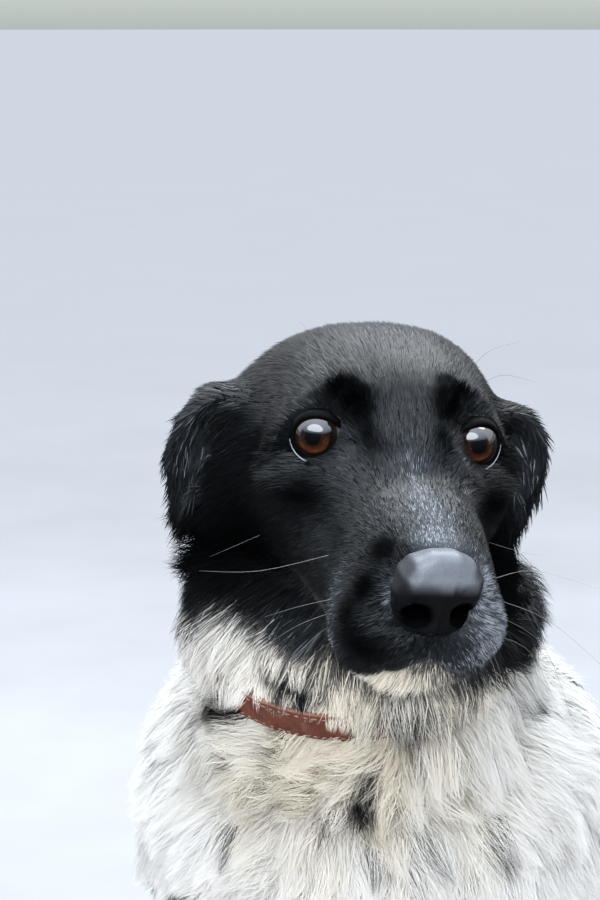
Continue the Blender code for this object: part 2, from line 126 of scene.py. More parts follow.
DOG_COMB = {
    "nape": ((0, -35, 600), (0, 0.6, -0.8), 28, 20, 46),
    "nape side": ((60, -50, 570), (0.5, 0.4, -0.8), 30, 22, 36),
    "chest side": ((100, -100, 490), (0.7, -0.1, -0.7), 42, 36, 26),
    "chest end": ((0, -140, 380), (0, -0.1, -1), 44, 24, 50),
    "shoulder": ((112, -40, 480), (0.5, 0.35, -0.8), 34, 20, 46),
    "shoulder back": ((90, 40, 480), (0.35, 0.6, -0.75), 32, 18, 50),
    "withers": ((0, 60, 500), (0, 0.75, -0.65), 32, 17, 60),
    "back": ((0, 160, 400), (0, 0.7, -0.7), 32, 16, 80),
    "ribs": ((118, 60, 370), (0.1, 0.6, -0.8), 30, 16, 70),
    "loin": ((98, 170, 250), (0.1, 0.5, -0.85), 30, 17, 60),
    "rump": ((0, 290, 200), (0, 0.4, -0.9), 36, 20, 70),
    "belly": ((0, 40, 250), (0, 0.6, -0.8), 30, 20, 80),
    "seat": ((60, 320, 80), (0.3, 0.4, -0.9), 34, 22, 50),
    "arm": ((105, -55, 400), (0.2, 0.15, -1), 26, 17, 44),
    "elbow": ((90, 10, 310), (0.1, 0.5, -0.85), 30, 22, 34),
    "forearm": ((85, -90, 200), (0.05, 0.1, -1), 11, 13, 60),
    "forearm back": ((78, -25, 220), (0.05, 0.6, -0.8), 22, 20, 34),
    "wrist": ((80, -100, 100), (0.05, 0, -1), 8, 12, 34),
    "paw": ((75, -145, 28), (0.05, -0.9, -0.35), 6.5, 12, 26),
    "thigh": ((150, 110, 190), (0.1, 0.55, -0.8), 28, 17, 60),
    "knee": ((130, 10, 200), (0.15, 0.2, -0.95), 18, 15, 36),
    "shank": ((125, 90, 110), (0.1, 0.6, -0.8), 20, 17, 40),
    "hock": ((112, 200, 50), (0, 0.8, -0.5), 16, 18, 30),
    "hind foot": ((122, 90, 30), (0.05, -0.85, -0.3), 9, 13, 36),
    "hind paw": ((122, 15, 22), (0.05, -0.9, -0.3), 6.5, 12, 26),
}
TAIL_PATH = ((0, 300, 118), (4, 340, 92), (22, 374, 56), (60, 396, 36), (108, 398, 33), (156, 374, 31),
             (192, 330, 28), (208, 286, 22), (212, 250, 16))
# The chest's whorl, its parting and the ruff over the collar, which differ from side to side
WHORL = {
    "ruff, right side": ((-84, -96, 612), (-0.55, 0.0, -0.85), 30, 38, 22),
    "ruff, right front": ((-42, -148, 592), (-0.3, -0.3, -0.9), 23, 42, 18),
    "ruff at the strap, right": ((-38, -153, 565), (-0.25, -0.3, -0.95), 17, 60, 10),
    "ruff at the strap, front": ((-10, -160, 559), (-0.1, -0.3, -0.95), 17, 60, 12),
    "ruff, middle": ((17, -159, 581), (-0.05, -0.3, -0.95), 40, 50, 12),
    "ruff, left front": ((44, -146, 588), (0.2, -0.3, -0.9), 42, 52, 20),
    "ruff, left side": ((84, -96, 600), (0.6, 0.0, -0.8), 42, 50, 26),
    "ruff, far left": ((84, -60, 610), (0.6, 0.3, -0.75), 40, 44, 26),
    "right shoulder tuft": ((-92, -96, 566), (-0.85, -0.1, 0.45), 30, 56, 18),
    "whorl": ((0, -166, 520), (-0.3, -0.9, 0.4), 34, 70, 20),
    "whorl left": ((-34, -160, 505), (-0.6, -0.8, 0.1), 36, 64, 24),
    "right of the whorl": ((-66, -140, 515), (-0.85, -0.35, -0.2), 38, 50, 26),
    "above the whorl": ((-5, -163, 541), (-0.25, -0.6, -0.3), 22, 46, 16),
    "under the strap": ((-32, -156, 545), (-0.3, -0.6, -0.5), 18, 34, 14),
    "right of the collar": ((-66, -137, 545), (-0.6, -0.5, 0.1), 32, 50, 16),
    "below the whorl": ((-8, -164, 478), (0.0, -0.6, -0.6), 38, 52, 24),
    "parting": ((52, -146, 528), (0.75, -0.5, -0.45), 46, 42, 14),
    "beside the parting": ((34, -155, 530), (-0.4, -0.8, -0.2), 34, 60, 12),
    "parting low": ((44, -152, 496), (0.4, -0.5, -0.75), 48, 38, 20),
    "left of the parting": ((78, -125, 515), (0.75, -0.3, -0.6), 48, 38, 22),
    "left shoulder": ((98, -90, 545), (0.85, -0.1, -0.2), 42, 42, 22),
    "chest low, right": ((-50, -150, 450), (-0.4, -0.3, -0.9), 42, 40, 34),
    "chest low, left": ((40, -154, 450), (0.3, -0.3, -0.9), 42, 36, 34),
}

# Longer tufts that stand over the coat, in the dog's frame: place, way, length, lift, reach. Not mirrored.
TUFTS = {
    "right cheek": ((-73, -124, 623), (-0.95, -0.2, -0.1), 48, 58, 13),
    "right cheek, lower": ((-74, -126, 608), (-0.9, -0.2, -0.35), 34, 44, 12),
    "over the strap, right": ((-79, -112, 592), (-0.3, -0.3, -0.9), 44, 54, 14),
    "over the strap, front": ((-62, -136, 587), (-0.3, -0.3, -0.9), 42, 56, 14),
    "over the strap, middle": ((19, -159, 576), (0.0, -0.3, -0.95), 44, 56, 11),
    "over the strap, next": ((32, -154, 574), (0.0, -0.3, -0.95), 42, 54, 12),
    "over the strap, left": ((48, -147, 576), (0.1, -0.3, -0.95), 42, 50, 16),
    "chin": ((38, -276, 614), (-0.4, -0.3, -0.8), 12, 30, 9),
}

# The sculpting of the skin's face: place, radii, push. All are made on both sides.
FACE_STROKES = {
    "brow ridge": ((24, -12, 21), (13, 9, 7), (0.6, -2.4, 1.6)),
    "over the lid": ((36, -14, 13), (12, 7, 4), (0, 1.4, 0)),
    "lower lid pouch": ((37, -17, -15), (12, 8, 5), (0, -0.4, -0.1)),
    "below the pouch": ((36, -22, -24), (14, 9, 7), (0, 1.0, 0)),
    "inner corner": ((20, -24, -3), (5, 6, 6), (0, 1.6, 0)),
    "tear line": ((19, -36, -14), (5, 12, 6), (-0.8, 0.8, 0)),
    "cheekbone": ((46, -8, -24), (12, 16, 10), (0.8, -0.6, 0)),
    "bridge edge": ((16, -56, -13), (5, 24, 5), (0.8, 0, 1.2)),
    "muzzle hollow": ((30, -44, -32), (8, 18, 9), (-1.8, 0.5, 0)),
    "whisker pad": ((25, -88, -52), (10, 13, 11), (3.4, -2.2, -0.5)),
    "hanging lip": ((25, -76, -76), (9, 18, 8), (4.2, -1.0, -5.0)),
    "lip front": ((12, -102, -68), (8, 7, 5), (1.2, -2.2, -2.4)),
    "lip groove": ((0, -106, -62), (2.0, 8, 9), (0, 2.4, 0)),
    "behind the nostril": ((9.8, -110, -42), (8, 12, 7), (0, 9.0, 0)),
    "muzzle front aside": ((0, -96, -50), (40, 22, 34), (-2.2, 0, 0)),
    "chin": ((9, -90, -86), (9, 9, 6), (0.6, -3.0, -0.6)),
    "crown furrow": ((0, 30, 38), (4, 26, 8), (0, 0, -0.8)),
    "temple fold": ((52, 22, 8), (6, 14, 12), (-1.2, 0, 0)),
}


def in_frame(points, matrix):
    """The points in millimetres, in that frame."""
    inverse = np.array(matrix.inverted())
    return (points @ inverse[:3, :3].T + inverse[:3, 3]) / MM


def out_of_frame(points, matrix):
    """Points in millimetres of that frame, back in the scene."""
    return points @ np.array(matrix.to_3x3()).T * MM + np.array(matrix.translation)


def on_side(place, side):
    return (place[0] * side, place[1], place[2])


def sides_of(place):
    """A place on the middle plane has one side, any other has two."""
    return (1, -1) if place[0] else (1,)


def unit(vectors):
    return vectors / np.maximum(np.linalg.norm(vectors, axis=-1, keepdims=True), 1e-12)


def smoothstep(low, high, value):
    share = np.clip((value - low) / (high - low), 0, 1)
    return share * share * (3 - 2 * share)


WAVES, WAVES_SPREAD = 14, 3.2


def ripple(points, size, seed):
    """Smooth noise of about -1 to 1. Its lumps are about size across, in the points' own unit."""
    rng = np.random.default_rng(seed)
    total = np.zeros(len(points))
    for _ in range(WAVES):
        way = unit(rng.normal(size=3)) * rng.uniform(0.5, 1.4) * math.pi / size
        total += np.sin(points @ way + rng.uniform(0, 2 * math.pi))
    return total / WAVES_SPREAD


def hill(points, place, radii):
    """1 at the place, falling to 0 a couple of radii away."""
    offset = (points - np.array(place)) / np.array(radii)
    return np.exp(-(offset**2).sum(1))


# ---------------------------------------------------------------- the lie of the coat

def comb_lines(tables):
    """The lines of the tables in the scene, as lists of places, ways, lengths, lifts and reaches."""
    lines = []
    for table, matrix, mirrored in tables:
        turn = np.array(matrix.to_3x3())
        shift = np.array(matrix.translation)
        for place, way, length, lift, reach in table.values():
            for side in sides_of(place) if mirrored else (1,):
                at = np.array(on_side(place, side)) * MM
                to = np.array(on_side(way, side))
                lines.append((turn @ at + shift, turn @ to, length, lift, reach * MM))
    places, ways, lengths, lifts, reaches = zip(*lines)
    return np.array(places), unit(np.array(ways)), np.array(lengths), np.array(lifts), np.array(reaches)


TAIL_HAIR = (38, 24, 30)  # length, lift, reach
TAIL_COMB = {}
for index, (first, second) in enumerate(zip(TAIL_PATH, TAIL_PATH[1:])):
    start, end = np.array(first), np.array(second)
    TAIL_COMB[index] = ((start + end) / 2, unit(end - start), *TAIL_HAIR)
COMB = comb_lines(
    ((HEAD_COMB, HEAD, True), (DOG_COMB, DOG, True), (WHORL, DOG, False), (TAIL_COMB, DOG, False))
)
TUFT_LINES = comb_lines(((TUFTS, DOG, False),))


def lie_of_hair(points, tufts=False):
    """The way, length in mm and lift in degrees of the hair at each point, with or without the TUFTS."""
    way = np.zeros_like(points)
    total, length, lift = (np.zeros(len(points)) for _ in range(3))
    for place, to, long, up, reach in zip(*COMB):
        apart = ((points - place) ** 2).sum(1) / reach**2
        weight = np.exp(-0.5 * apart) + 1e-4 / (1 + apart) ** 2
        total += weight
        way += weight[:, None] * to
        length += weight * long
        lift += weight * up
    way, length, lift = unit(way), length / total, lift / total
    if tufts:
        for place, to, long, up, reach in zip(*TUFT_LINES):
            share = np.exp(-(((((points - place) ** 2).sum(1)) / reach**2) ** 2))
            way = unit(way * (1 - share[:, None]) + to * share[:, None])
            length = length * (1 - share) + long * share
            lift = lift * (1 - share) + up * share
    return way, length, lift


FLOOR_GAP = 0.3


def at_floor(points):
    """Points lower than the floor are laid on it."""
    points[..., 2] = np.maximum(points[..., 2], FLOOR_GAP * MM)
    return points


LEAST_DEPTH, MOST_DEPTH = 0.8, 26
UNDER_STRAP = 2.2  # depth of the coat that the strap presses flat
STRAP_REACH = 96  # how far from its axis the strap holds the coat down


def coat_depth(points):
    """How far the skin lies inside the outline. The coat thins towards the strap, more so in front."""
    _, length, lift = lie_of_hair(points)
    depth = np.clip(length * np.sin(np.radians(lift)) * 0.85 + 0.25, LEAST_DEPTH, MOST_DEPTH)
    strap = in_frame(points, COLLAR)
    near = np.hypot(strap[:, 0], strap[:, 1]) < STRAP_REACH
    slope = 0.58 - 0.2 * smoothstep(-15, -60, strap[:, 1])
    return np.where(near, np.minimum(depth, UNDER_STRAP + slope * np.abs(strap[:, 2])), depth)


# ---------------------------------------------------------------- markings

# Place, radii and strength of the black patches, in the dog's frame
CHEST_PATCHES = {
    "middle patch": ((7, -162, 514), (10, 30, 17), 1.2),
    "middle patch low": ((-9, -163, 494), (9, 30, 9), 1.3),
    "strong streak": ((70, -137, 486), (6, 30, 12), 1.5),
    "left streak": ((88, -103, 537), (16, 30, 4.5), 1.1),
    "patch at the collar": ((-63, -134, 549), (12, 26, 4.5), 1.3),
    "right streak": ((-88, -108, 526), (10, 26, 4), 0.9),
    "right low streak": ((-60, -145, 479), (6, 26, 7), 1.3),
    "right low patch": ((-17, -160, 470), (5, 26, 6), 0.95),
    "low specks": ((28, -157, 465), (8, 30, 5), 0.95),
    "middle specks": ((13, -160, 477), (7, 30, 5), 0.95),
    "above the parting": ((60, -135, 545), (14, 26, 8), 0.55),
}
BODY_PATCHES = {
    "saddle": ((40, 120, 430), (85, 95, 70), 2.4),
    "right flank": ((-120, 130, 300), (50, 52, 60), 2.2),
    "left rump": ((110, 240, 190), (46, 50, 52), 2.2),
    "tail root": ((0, 300, 130), (50, 46, 50), 2.4),
    "tail": ((60, 400, 36), (70, 46, 60), 2.0),
    "right elbow": ((-110, 0, 330), (26, 30, 24), 1.8),
    "left shank": ((125, 100, 110), (22, 30, 24), 1.6),
}
CREAM_PATCHES = {
    "chest": ((-10, -160, 530), (80, 70, 62), 1.15),
    "below the collar": ((30, -150, 575), (70, 70, 26), 0.7),
}
NO_ROAN = ((-20, -160, 530), (90, 70, 70))  # the front of the chest, where no black is mixed in
ROAN_BELOW = 560

# Places and radii in the head's frame
CHIN = ((0, -86, -80), (26, 24, 12))
LIP_SHADE = ((-1, -92, -71), (9, 12, 3.2))
THROAT_STREAK = ((28, 30, -139), (16, 30, 7))
THROAT_PATCH = ((-22, 42, -134), (17, 20, 12))

# Where the black hair is greyer (up to 1) or deepest black (down to -1), in the head's frame.
# Greyer is partly grey hair and partly painted sheen, as on the crown, the bridge and the ears; deepest
# black is partly painted shade, as in the brow spots, the grooves by the eyes, under the eyes and on the
# cheeks.
# A bare strength holds for both sides; one in brackets for that side only.
TONES = {
    "crown": ((0, 42, 38), (26, 26, 14), 0.18),
    "forehead": ((0, 0, 25), (24, 14, 12), (-0.16,)),
    "stop": ((0, -36, 0), (8, 12, 9), (0.25,)),
    "bridge": ((1, -54, -9), (6, 16, 8), (0.36,)),
    "bridge, low": ((2, -74, -13), (8, 14, 8), (0.42,)),
    "bridge, broad": ((-3, -64, -14), (22, 26, 9), (0.16,)),
    "behind the nose": ((1, -90, -16), (12, 8, 7), (0.75,)),
    "right brow spot": ((-25, -8, 21.5), (8, 11, 9), (-1.3,)),
    "right brow spot, low": ((-19.5, -19, 15), (6, 8, 8), (-1.1,)),
    "right groove": ((-16.5, -27, 5), (4, 5, 7), (-0.7,)),
    "right groove, end": ((-14, -33, -1), (4, 6, 6), (-0.2,)),
    "left brow spot": ((22.5, -6, 23.5), (7.5, 10, 7), (-1.3,)),
    "left brow spot, low": ((17, -18, 17), (5.5, 8, 7), (-1.1,)),
    "left groove": ((14, -27, 6), (4, 5, 7), (-0.7,)),
    "left groove, end": ((12, -33, 0), (3.5, 6, 6), (-0.2,)),
    "over the eye": ((40, -8, 15), (10, 7, 4), 0.14),
    "beside the inner corner": ((25, -28, 2), (3, 5, 7), 0.30),
    "under the eye": ((41, -23, -20), (14, 13, 8), -0.8),
    "outer corner": ((57, 8, -6), (9, 14, 16), -0.5),
    "cheek": ((50, 20, -60), (20, 34, 34), -1.0),
    "rear cheek": ((60, 70, -80), (26, 34, 34), -0.8),
    "behind the cheek": ((70, 104, -66), (20, 30, 26), -0.9),
    "side of the neck": ((64, 158, -72), (28, 44, 34), -0.9),
    "muzzle side": ((36, -40, -30), (8, 16, 12), 0.12),
    "pad, left": ((24, -96, -52), (12, 14, 20), (0.9,)),
    "pad, left, top": ((18, -96, -32), (7, 10, 8), (0.7,)),
    "pad edge, right": ((-34, -72, -52), (5, 14, 20), (0.42,)),
    "pad by the nose, right": ((-19, -99, -38), (4, 7, 7), (0.5,)),
    "dark by the nose": ((-20, -86, -24), (6, 8, 5.5), (-1.2,)),
    "dark on the pad": ((-27, -90, -38), (5, 8, 6.5), (-1.0,)),
    "dark on the pad, low": ((-31, -86, -50), (5, 9, 7), (-1.0,)),
    "dark on the lip": ((-25, -94, -60), (9, 9, 8), (-0.8,)),
    "lip front": ((0, -100, -66), (12, 9, 5), (0.35,)),
    "jaw": ((-32, 34, -112), (24, 34, 16), (0.45,)),
    "ear": ((80, 52, -22), (12, 26, 18), 0.35),
    "ear, low": ((74, 70, -46), (12, 20, 12), 0.35),
}


def spots(points, patches):
    """The strengths of the patches at each point, added up."""
    total = np.zeros(len(points))
    for place, radii, strength in patches.values():
        total += strength * hill(points, place, radii)
    return total


def black_of_head(head, dog):
    """The head's black to its ragged edge on the throat, less the chin's spot, and the throat's streaks."""
    x, y, z = head.T
    ragged = ripple(head, 9, 1) * 5 + ripple(head, 24, 2) * 4
    edge = -121 - 9 * smoothstep(30, 90, x) + 46 * smoothstep(180, 225, y)
    black = smoothstep(-12, 12, z - edge + ragged) * smoothstep(470, 520, dog[:, 2])
    below_lip = z - lip_edge(x + 2.2) + ripple(head, 7, 3) * 0.6
    chin = smoothstep(-16, -30, y) * smoothstep(-2.2, -4.5, below_lip) * (1 - 0.8 * hill(head, *LIP_SHADE))
    chin *= (0.92 - 0.6 * smoothstep(-4, 8, x)) * (1 - 0.75 * smoothstep(-89, -94, z))
    black *= 1 - chin
    black = np.maximum(black, 0.95 * hill(head, *THROAT_STREAK))
    return np.maximum(black, smoothstep(0.25, 0.8, hill(head, *THROAT_PATCH) + 0.2 * ripple(head, 8, 11)))


def black_of_coat(dog):
    """The chest's broken patches, the body's larger ones and the roan between them."""
    ticks = spots(dog, CHEST_PATCHES)
    fine = 0.5 * ripple(dog, 7, 4) + 0.5 * ripple(dog, 16, 5)
    black = smoothstep(0.5, 0.95, ticks + 0.42 * fine * (ticks > 0.12))
    for place, radii, strength in BODY_PATCHES.values():
        spread = strength * hill(dog, place, radii) + 0.22 * ripple(dog, 30, 6) + 0.1 * ripple(dog, 11, 7)
        black = np.maximum(black, smoothstep(0.85, 1.1, spread))
    roan = 0.6 * ripple(dog, 9, 8) + 0.6 * ripple(dog, 42, 9) - 1.0 * hill(dog, *NO_ROAN)
    return np.maximum(black, 0.9 * smoothstep(0.98, 1.3, roan) * (dog[:, 2] < ROAN_BELOW))


def markings(points):
    """Black (0 to 1), cream (0 to 1) and a tone (-1 to 1) of skin and coat at each point. A tone above 0 is
    greyer hair together with painted sheen; below 0 it is deeper black together with painted shade.
    """
    head = in_frame(points, HEAD)
    dog = in_frame(points, DOG)
    black = np.maximum(black_of_head(head, dog), black_of_coat(dog))
    cream = np.clip(spots(dog, CREAM_PATCHES) * (0.8 + 0.35 * ripple(dog, 22, 10)) + 0.1, 0, 1)
    cream = np.maximum(cream, 1.8 * hill(head, *CHIN))
    silver = np.zeros(len(points))
    for place, radii, strength in TONES.values():
        one_sided = isinstance(strength, tuple)
        for side in (1,) if one_sided else sides_of(place):
            silver += (strength[0] if one_sided else strength) * hill(head, on_side(place, side), radii)
    return black, np.clip(cream, 0, 1), np.clip(silver, -1, 1)


def mark(mesh, **values):
    """Stores each list of numbers as an attribute of the mesh's points."""
    for name, numbers in values.items():
        attribute = mesh.attributes.new(name, "FLOAT", "POINT")
        attribute.data.foreach_set("value", np.asarray(numbers, np.float32))


# ---------------------------------------------------------------- meshes

def clad(mesh, material):
    mesh.materials.clear()
    mesh.materials.append(material)


def as_piece(name, mesh_or_bm, material=None, smooth=True):
    """A mesh, or a finished bmesh, as a piece of the scene."""
    if isinstance(mesh_or_bm, bmesh.types.BMesh):
        mesh = bpy.data.meshes.new(name)
        mesh_or_bm.to_mesh(mesh)
        mesh_or_bm.free()
    else:
        mesh = mesh_or_bm
        mesh.name = name
    if smooth:
        mesh.shade_smooth()
    if material:
        clad(mesh, material)
    piece = bpy.data.objects.new(name, mesh)
    bpy.context.scene.collection.objects.link(piece)
    return piece


def applied(piece):
    """The piece's mesh with its modifiers applied."""
    bpy.context.view_layer.update()
    graph = bpy.context.evaluated_depsgraph_get()
    piece.data = bpy.data.meshes.new_from_object(piece.evaluated_get(graph))
    piece.modifiers.clear()
    return piece


def remeshed(piece, grain):
    modifier = piece.modifiers.new("remesh", "REMESH")
    modifier.mode = "VOXEL"
    modifier.voxel_size = grain * MM
    return applied(piece)


def points_of(mesh):
    points = np.empty(len(mesh.vertices) * 3)
    mesh.vertices.foreach_get("co", points)
    return points.reshape(-1, 3)


def move_points(mesh, points):
    mesh.vertices.foreach_set("co", points.astype(np.float32).ravel())
    mesh.update()


def edges_of(mesh):
    edges = np.empty(len(mesh.edges) * 2, np.int64)
    mesh.edges.foreach_get("vertices", edges)
    return edges.reshape(-1, 2)


def triangles_of(mesh):
    mesh.calc_loop_triangles()
    corners = np.empty(len(mesh.loop_triangles) * 3, np.int64)
    mesh.loop_triangles.foreach_get("vertices", corners)
    return corners.reshape(-1, 3)


def point_normals(points, corners):
    a, b, c = (points[corners[:, k]] for k in range(3))
    facing = np.cross(b - a, c - a)
    total = np.zeros_like(points)
    for k in range(3):
        for axis in range(3):
            total[:, axis] += np.bincount(corners[:, k], facing[:, axis], len(points))
    return unit(total)


EASE_IN, EASE_OUT = 0.5, -0.53


def relaxed(points, edges, rounds, strength=1.0):
    """The points smoothed along the edges. Each step in has a step out, which undoes its shrinking."""
    strength = np.reshape(strength, (-1, 1))
    count = np.bincount(edges.ravel(), minlength=len(points))[:, None]
    for turn in range(rounds * 2):
        step = EASE_OUT if turn % 2 else EASE_IN
        total = np.zeros_like(points)
        for axis in range(3):
            total[:, axis] += np.bincount(edges[:, 0], points[edges[:, 1], axis], len(points))
            total[:, axis] += np.bincount(edges[:, 1], points[edges[:, 0], axis], len(points))
        mean = total / np.maximum(count, 1)
        points = points + step * (mean - points) * strength
    return points


def stroked(points, strokes, matrix):
    """The points pushed near each named place of the frame, on its left and its right."""
    inside = in_frame(points, matrix)
    moved = np.zeros_like(inside)
    for place, radii, push in strokes.values():
        for side in sides_of(place):
            weight = hill(inside, on_side(place, side), radii)
            moved += weight[:, None] * np.array(on_side(push, side))
    return points + moved @ np.array(matrix.to_3x3()).T * MM


def node_copy(bm, node, outwards):
    """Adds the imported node's surface, merged and moved outwards by that many millimetres."""
    part = bmesh.new()
    part.from_mesh(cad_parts[node].data)
    bmesh.ops.remove_doubles(part, verts=part.verts, dist=1e-6)
    part.normal_update()
    moves = [vertex.normal * outwards * MM for vertex in part.verts]
    for vertex, move in zip(part.verts, moves):
        vertex.co += move
    mesh = bpy.data.meshes.new("part")
    part.to_mesh(mesh)
    part.free()
    bm.from_mesh(mesh)
    bpy.data.meshes.remove(mesh)


def refine(mesh, wanted):
    """Halves the edges between the wanted points."""
    bm = bmesh.new()
    bm.from_mesh(mesh)
    bm.verts.ensure_lookup_table()
    edges = [e for e in bm.edges if wanted[e.verts[0].index] and wanted[e.verts[1].index]]
    bmesh.ops.subdivide_edges(bm, edges=edges, cuts=1, smooth=0.6, use_grid_fill=True)
    bm.to_mesh(mesh)
    bm.free()


# ---------------------------------------------------------------- skin

def eye_frame(side):
    """A frame at that eye's centre: x towards its outer corner, y up, z outwards."""
    outward = Vector(on_side(EYE_OUTWARD, side)).normalized()
    up = (Vector((0, 0, 1)) - outward * outward.z).normalized()
    across = up.cross(outward) * side
    place = Matrix((across * side, up, outward)).transposed().to_4x4()
    place.translation = Vector(on_side(EYE_CENTRE, side)) * MM
    return HEAD @ place


LID_WIDTH, LID_UPPER, LID_LOWER, LID_RIM = 10.9, 9.8, 10.0, 0.9
INNER_WIDTH, INNER_UPPER, INNER_LOWER = 10.2, 8.6, 9.2  # of the lids' wet inner edge
LID_MIDDLE = (0.0, 0.1)  # of the opening, from the ball's middle
LID_SPREAD = 1.06  # the ball's bulge under the lids
LID_FADE = 3.2  # the lid_share from which the skin no longer lies on the ball
SOCKET_REACH, SOCKET_DEPTH, SOCKET_BOWL = 26, 1.6, 2.5
LIP_HEIGHT, LIP_HANG = -65.5, 11.5
LIP_CUT, LIP_CUT_WIDTH = 3.2, 1.9
CHIN_BACK, CHIN_IN = 3.5, 0.06  # how far it is set back, and the share that it is narrowed by


def lid_share(across, up):
    """1 on the edge of the lids' opening, less inside it."""
    across, up = across - LID_MIDDLE[0], up - LID_MIDDLE[1]
    reach = np.where(up > 0, LID_UPPER, LID_LOWER)
    return (np.abs(across) / LID_WIDTH) ** 2 + (np.abs(up) / reach) ** 2


def opening_share(ways):
    """lid_share of the unit vectors in an eye's frame."""
    return lid_share(ways[:, 0] * EYE_RADIUS * LID_SPREAD, ways[:, 1] * EYE_RADIUS * LID_SPREAD)


def seat_eyes(points):
    """Sinks the skin behind each eyeball and lays the lids on the ball."""
    for side in (1, -1):
        place = eye_frame(side)
        inside = in_frame(points, place)
        out = np.linalg.norm(inside, axis=1)
        near = (out < SOCKET_REACH) & (inside[:, 2] > 1)
        ways = inside[near] / out[near, None]
        share = opening_share(ways)
        rim = EYE_RADIUS + LID_RIM
        hollow = EYE_RADIUS - SOCKET_DEPTH - SOCKET_BOWL * (1 - np.clip(share, 0, 1))
        # Well outside the opening the skin stays where it is
        blend = smoothstep(1.0, LID_FADE, share)
        around = rim * (1 - blend) + np.maximum(out[near], rim) * blend
        reach = np.where(share < 1.0, hollow, around)
        points[near] = out_of_frame(ways * reach[:, None], place)
    return points


def lip_edge(x):
    """Height of the upper lips' lower edge: highest under the nose, lowest at the hanging lips."""
    return LIP_HEIGHT - LIP_HANG * smoothstep(4, 25, np.abs(x))


def part_lips(points):
    """Cuts the mouth's line round the muzzle and sets the chin back below it."""
    head = in_frame(points, HEAD)
    x, y, z = head.T
    below = z - lip_edge(x)
    ahead = smoothstep(-34, -52, y)
    cut = np.exp(-(((below + 1.5) / LIP_CUT_WIDTH) ** 2)) * ahead
    chin = smoothstep(0, -5, below) * smoothstep(-60, -84, y) * smoothstep(-100, -92, z)
    out = unit(np.stack([x, (y + 60) * 0.8, z * 0], 1))
    moved = head - out * (cut * LIP_CUT)[:, None]
    moved[:, 1] += chin * CHIN_BACK
    moved[:, 0] *= 1 - CHIN_IN * chin
    return out_of_frame(moved, HEAD)


FLESH_SWELL = 0.7  # how far the flesh is moved outwards before it is joined
NOSE_BED = -1.4  # and the flesh behind the nose pad
EYE_BED = 12.9  # radius of the flesh round each eye
DEPTH_STEPS = 5
# Where the head's mesh is made finer, in its frame: above, ahead of and within
FINER = ((-112, 140, 110), (-96, 12, 60))


def build_skin():
    """The flesh in one mesh, moved in by the coat's depth, with its face sculpted and its markings."""
    bm = bmesh.new()
    for node in FLESH:
        node_copy(bm, node, FLESH_SWELL)
    node_copy(bm, "nose", NOSE_BED)
    for side in (1, -1):
        bmesh.ops.create_icosphere(bm, subdivisions=4, radius=EYE_BED * MM, matrix=eye_frame(side))
    skin = remeshed(as_piece("skin", bm), SKIN_GRAIN)
    mesh = skin.data
    points = relaxed(points_of(mesh), edges_of(mesh), 5)
    corners = triangles_of(mesh)
    depth = coat_depth(points)
    for _ in range(DEPTH_STEPS):
        points = points - point_normals(points, corners) * depth[:, None] * MM / DEPTH_STEPS
        points = relaxed(points, edges_of(mesh), 1)
    move_points(mesh, points)
    for low, back, half_width in FINER:
        head = in_frame(points_of(mesh), HEAD)
        refine(mesh, (head[:, 2] > low) & (head[:, 1] < back) & (np.abs(head[:, 0]) < half_width))
        points = points_of(mesh)
        head = in_frame(points, HEAD)
        eased = (head[:, 2] > low - 5) & (head[:, 1] < back + 5)
        move_points(mesh, relaxed(points, edges_of(mesh), 6, strength=eased.astype(float)))
    points = part_lips(stroked(points_of(mesh), FACE_STROKES, HEAD))
    move_points(mesh, seat_eyes(points))
    black, cream, silver = markings(points_of(mesh))
    mark(mesh, black=black, cream=cream, silver=silver)
    clad(mesh, SKIN)
    mesh.shade_smooth()
    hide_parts(*FLESH)
    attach(skin, "root")
    return skin


def coat_regions(skin):
    """For each point of the skin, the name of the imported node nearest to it."""
    vertices, faces, owners = [], [], []
    for node in FLESH:
        first = len(vertices)
        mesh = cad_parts[node].data
        vertices += [vertex.co.copy() for vertex in mesh.vertices]
        faces += [[first + index for index in face.vertices] for face in mesh.polygons]
        owners += [node] * len(mesh.polygons)
    tree = BVHTree.FromPolygons(vertices, faces)
    return np.array([owners[tree.find_nearest(vertex.co)[2]] for vertex in skin.data.vertices])


# ---------------------------------------------------------------- the coat

RIBBON = {2: (0, 0.5, 1), 3: (0, 0.34, 0.68, 1)}  # where along a hair its cross lines and its tip lie
TAPER = {2: (1.0, 0.75), 3: (0.8, 1.0, 0.62)}  # how wide it is there
ROOT_DEPTH = 0.6  # mm that the hairs start under the skin
HAIR_ON_MAP = 0.003  # size of a hair's patch on the square of the baked map


def sown(points, normals, corners, weights, count, rng):
    """Roots spread over the triangles in proportion to their area and weight: places and normals."""
    a, b, c = (points[corners[:, k]] for k in range(3))
    area = np.linalg.norm(np.cross(b - a, c - a), axis=1) * weights
    share = np.cumsum(area)
    chosen = np.searchsorted(share, (np.arange(count) + rng.uniform(size=count)) / count * share[-1])
    chosen = np.minimum(chosen, len(corners) - 1)
    u, v = rng.uniform(size=(2, count))
    over = u + v > 1
    u[over], v[over] = 1 - u[over], 1 - v[over]
    mix = np.stack([1 - u - v, u, v], 1)[:, :, None]
    picked = corners[chosen]
    return (points[picked] * mix).sum(1), unit((normals[picked] * mix).sum(1))


def cells_of(points, size):
    """For each point, the number of the cube of that size that it lies in."""
    _, cell = np.unique(np.floor(points / size).astype(np.int64), axis=0, return_inverse=True)
    return cell.ravel()


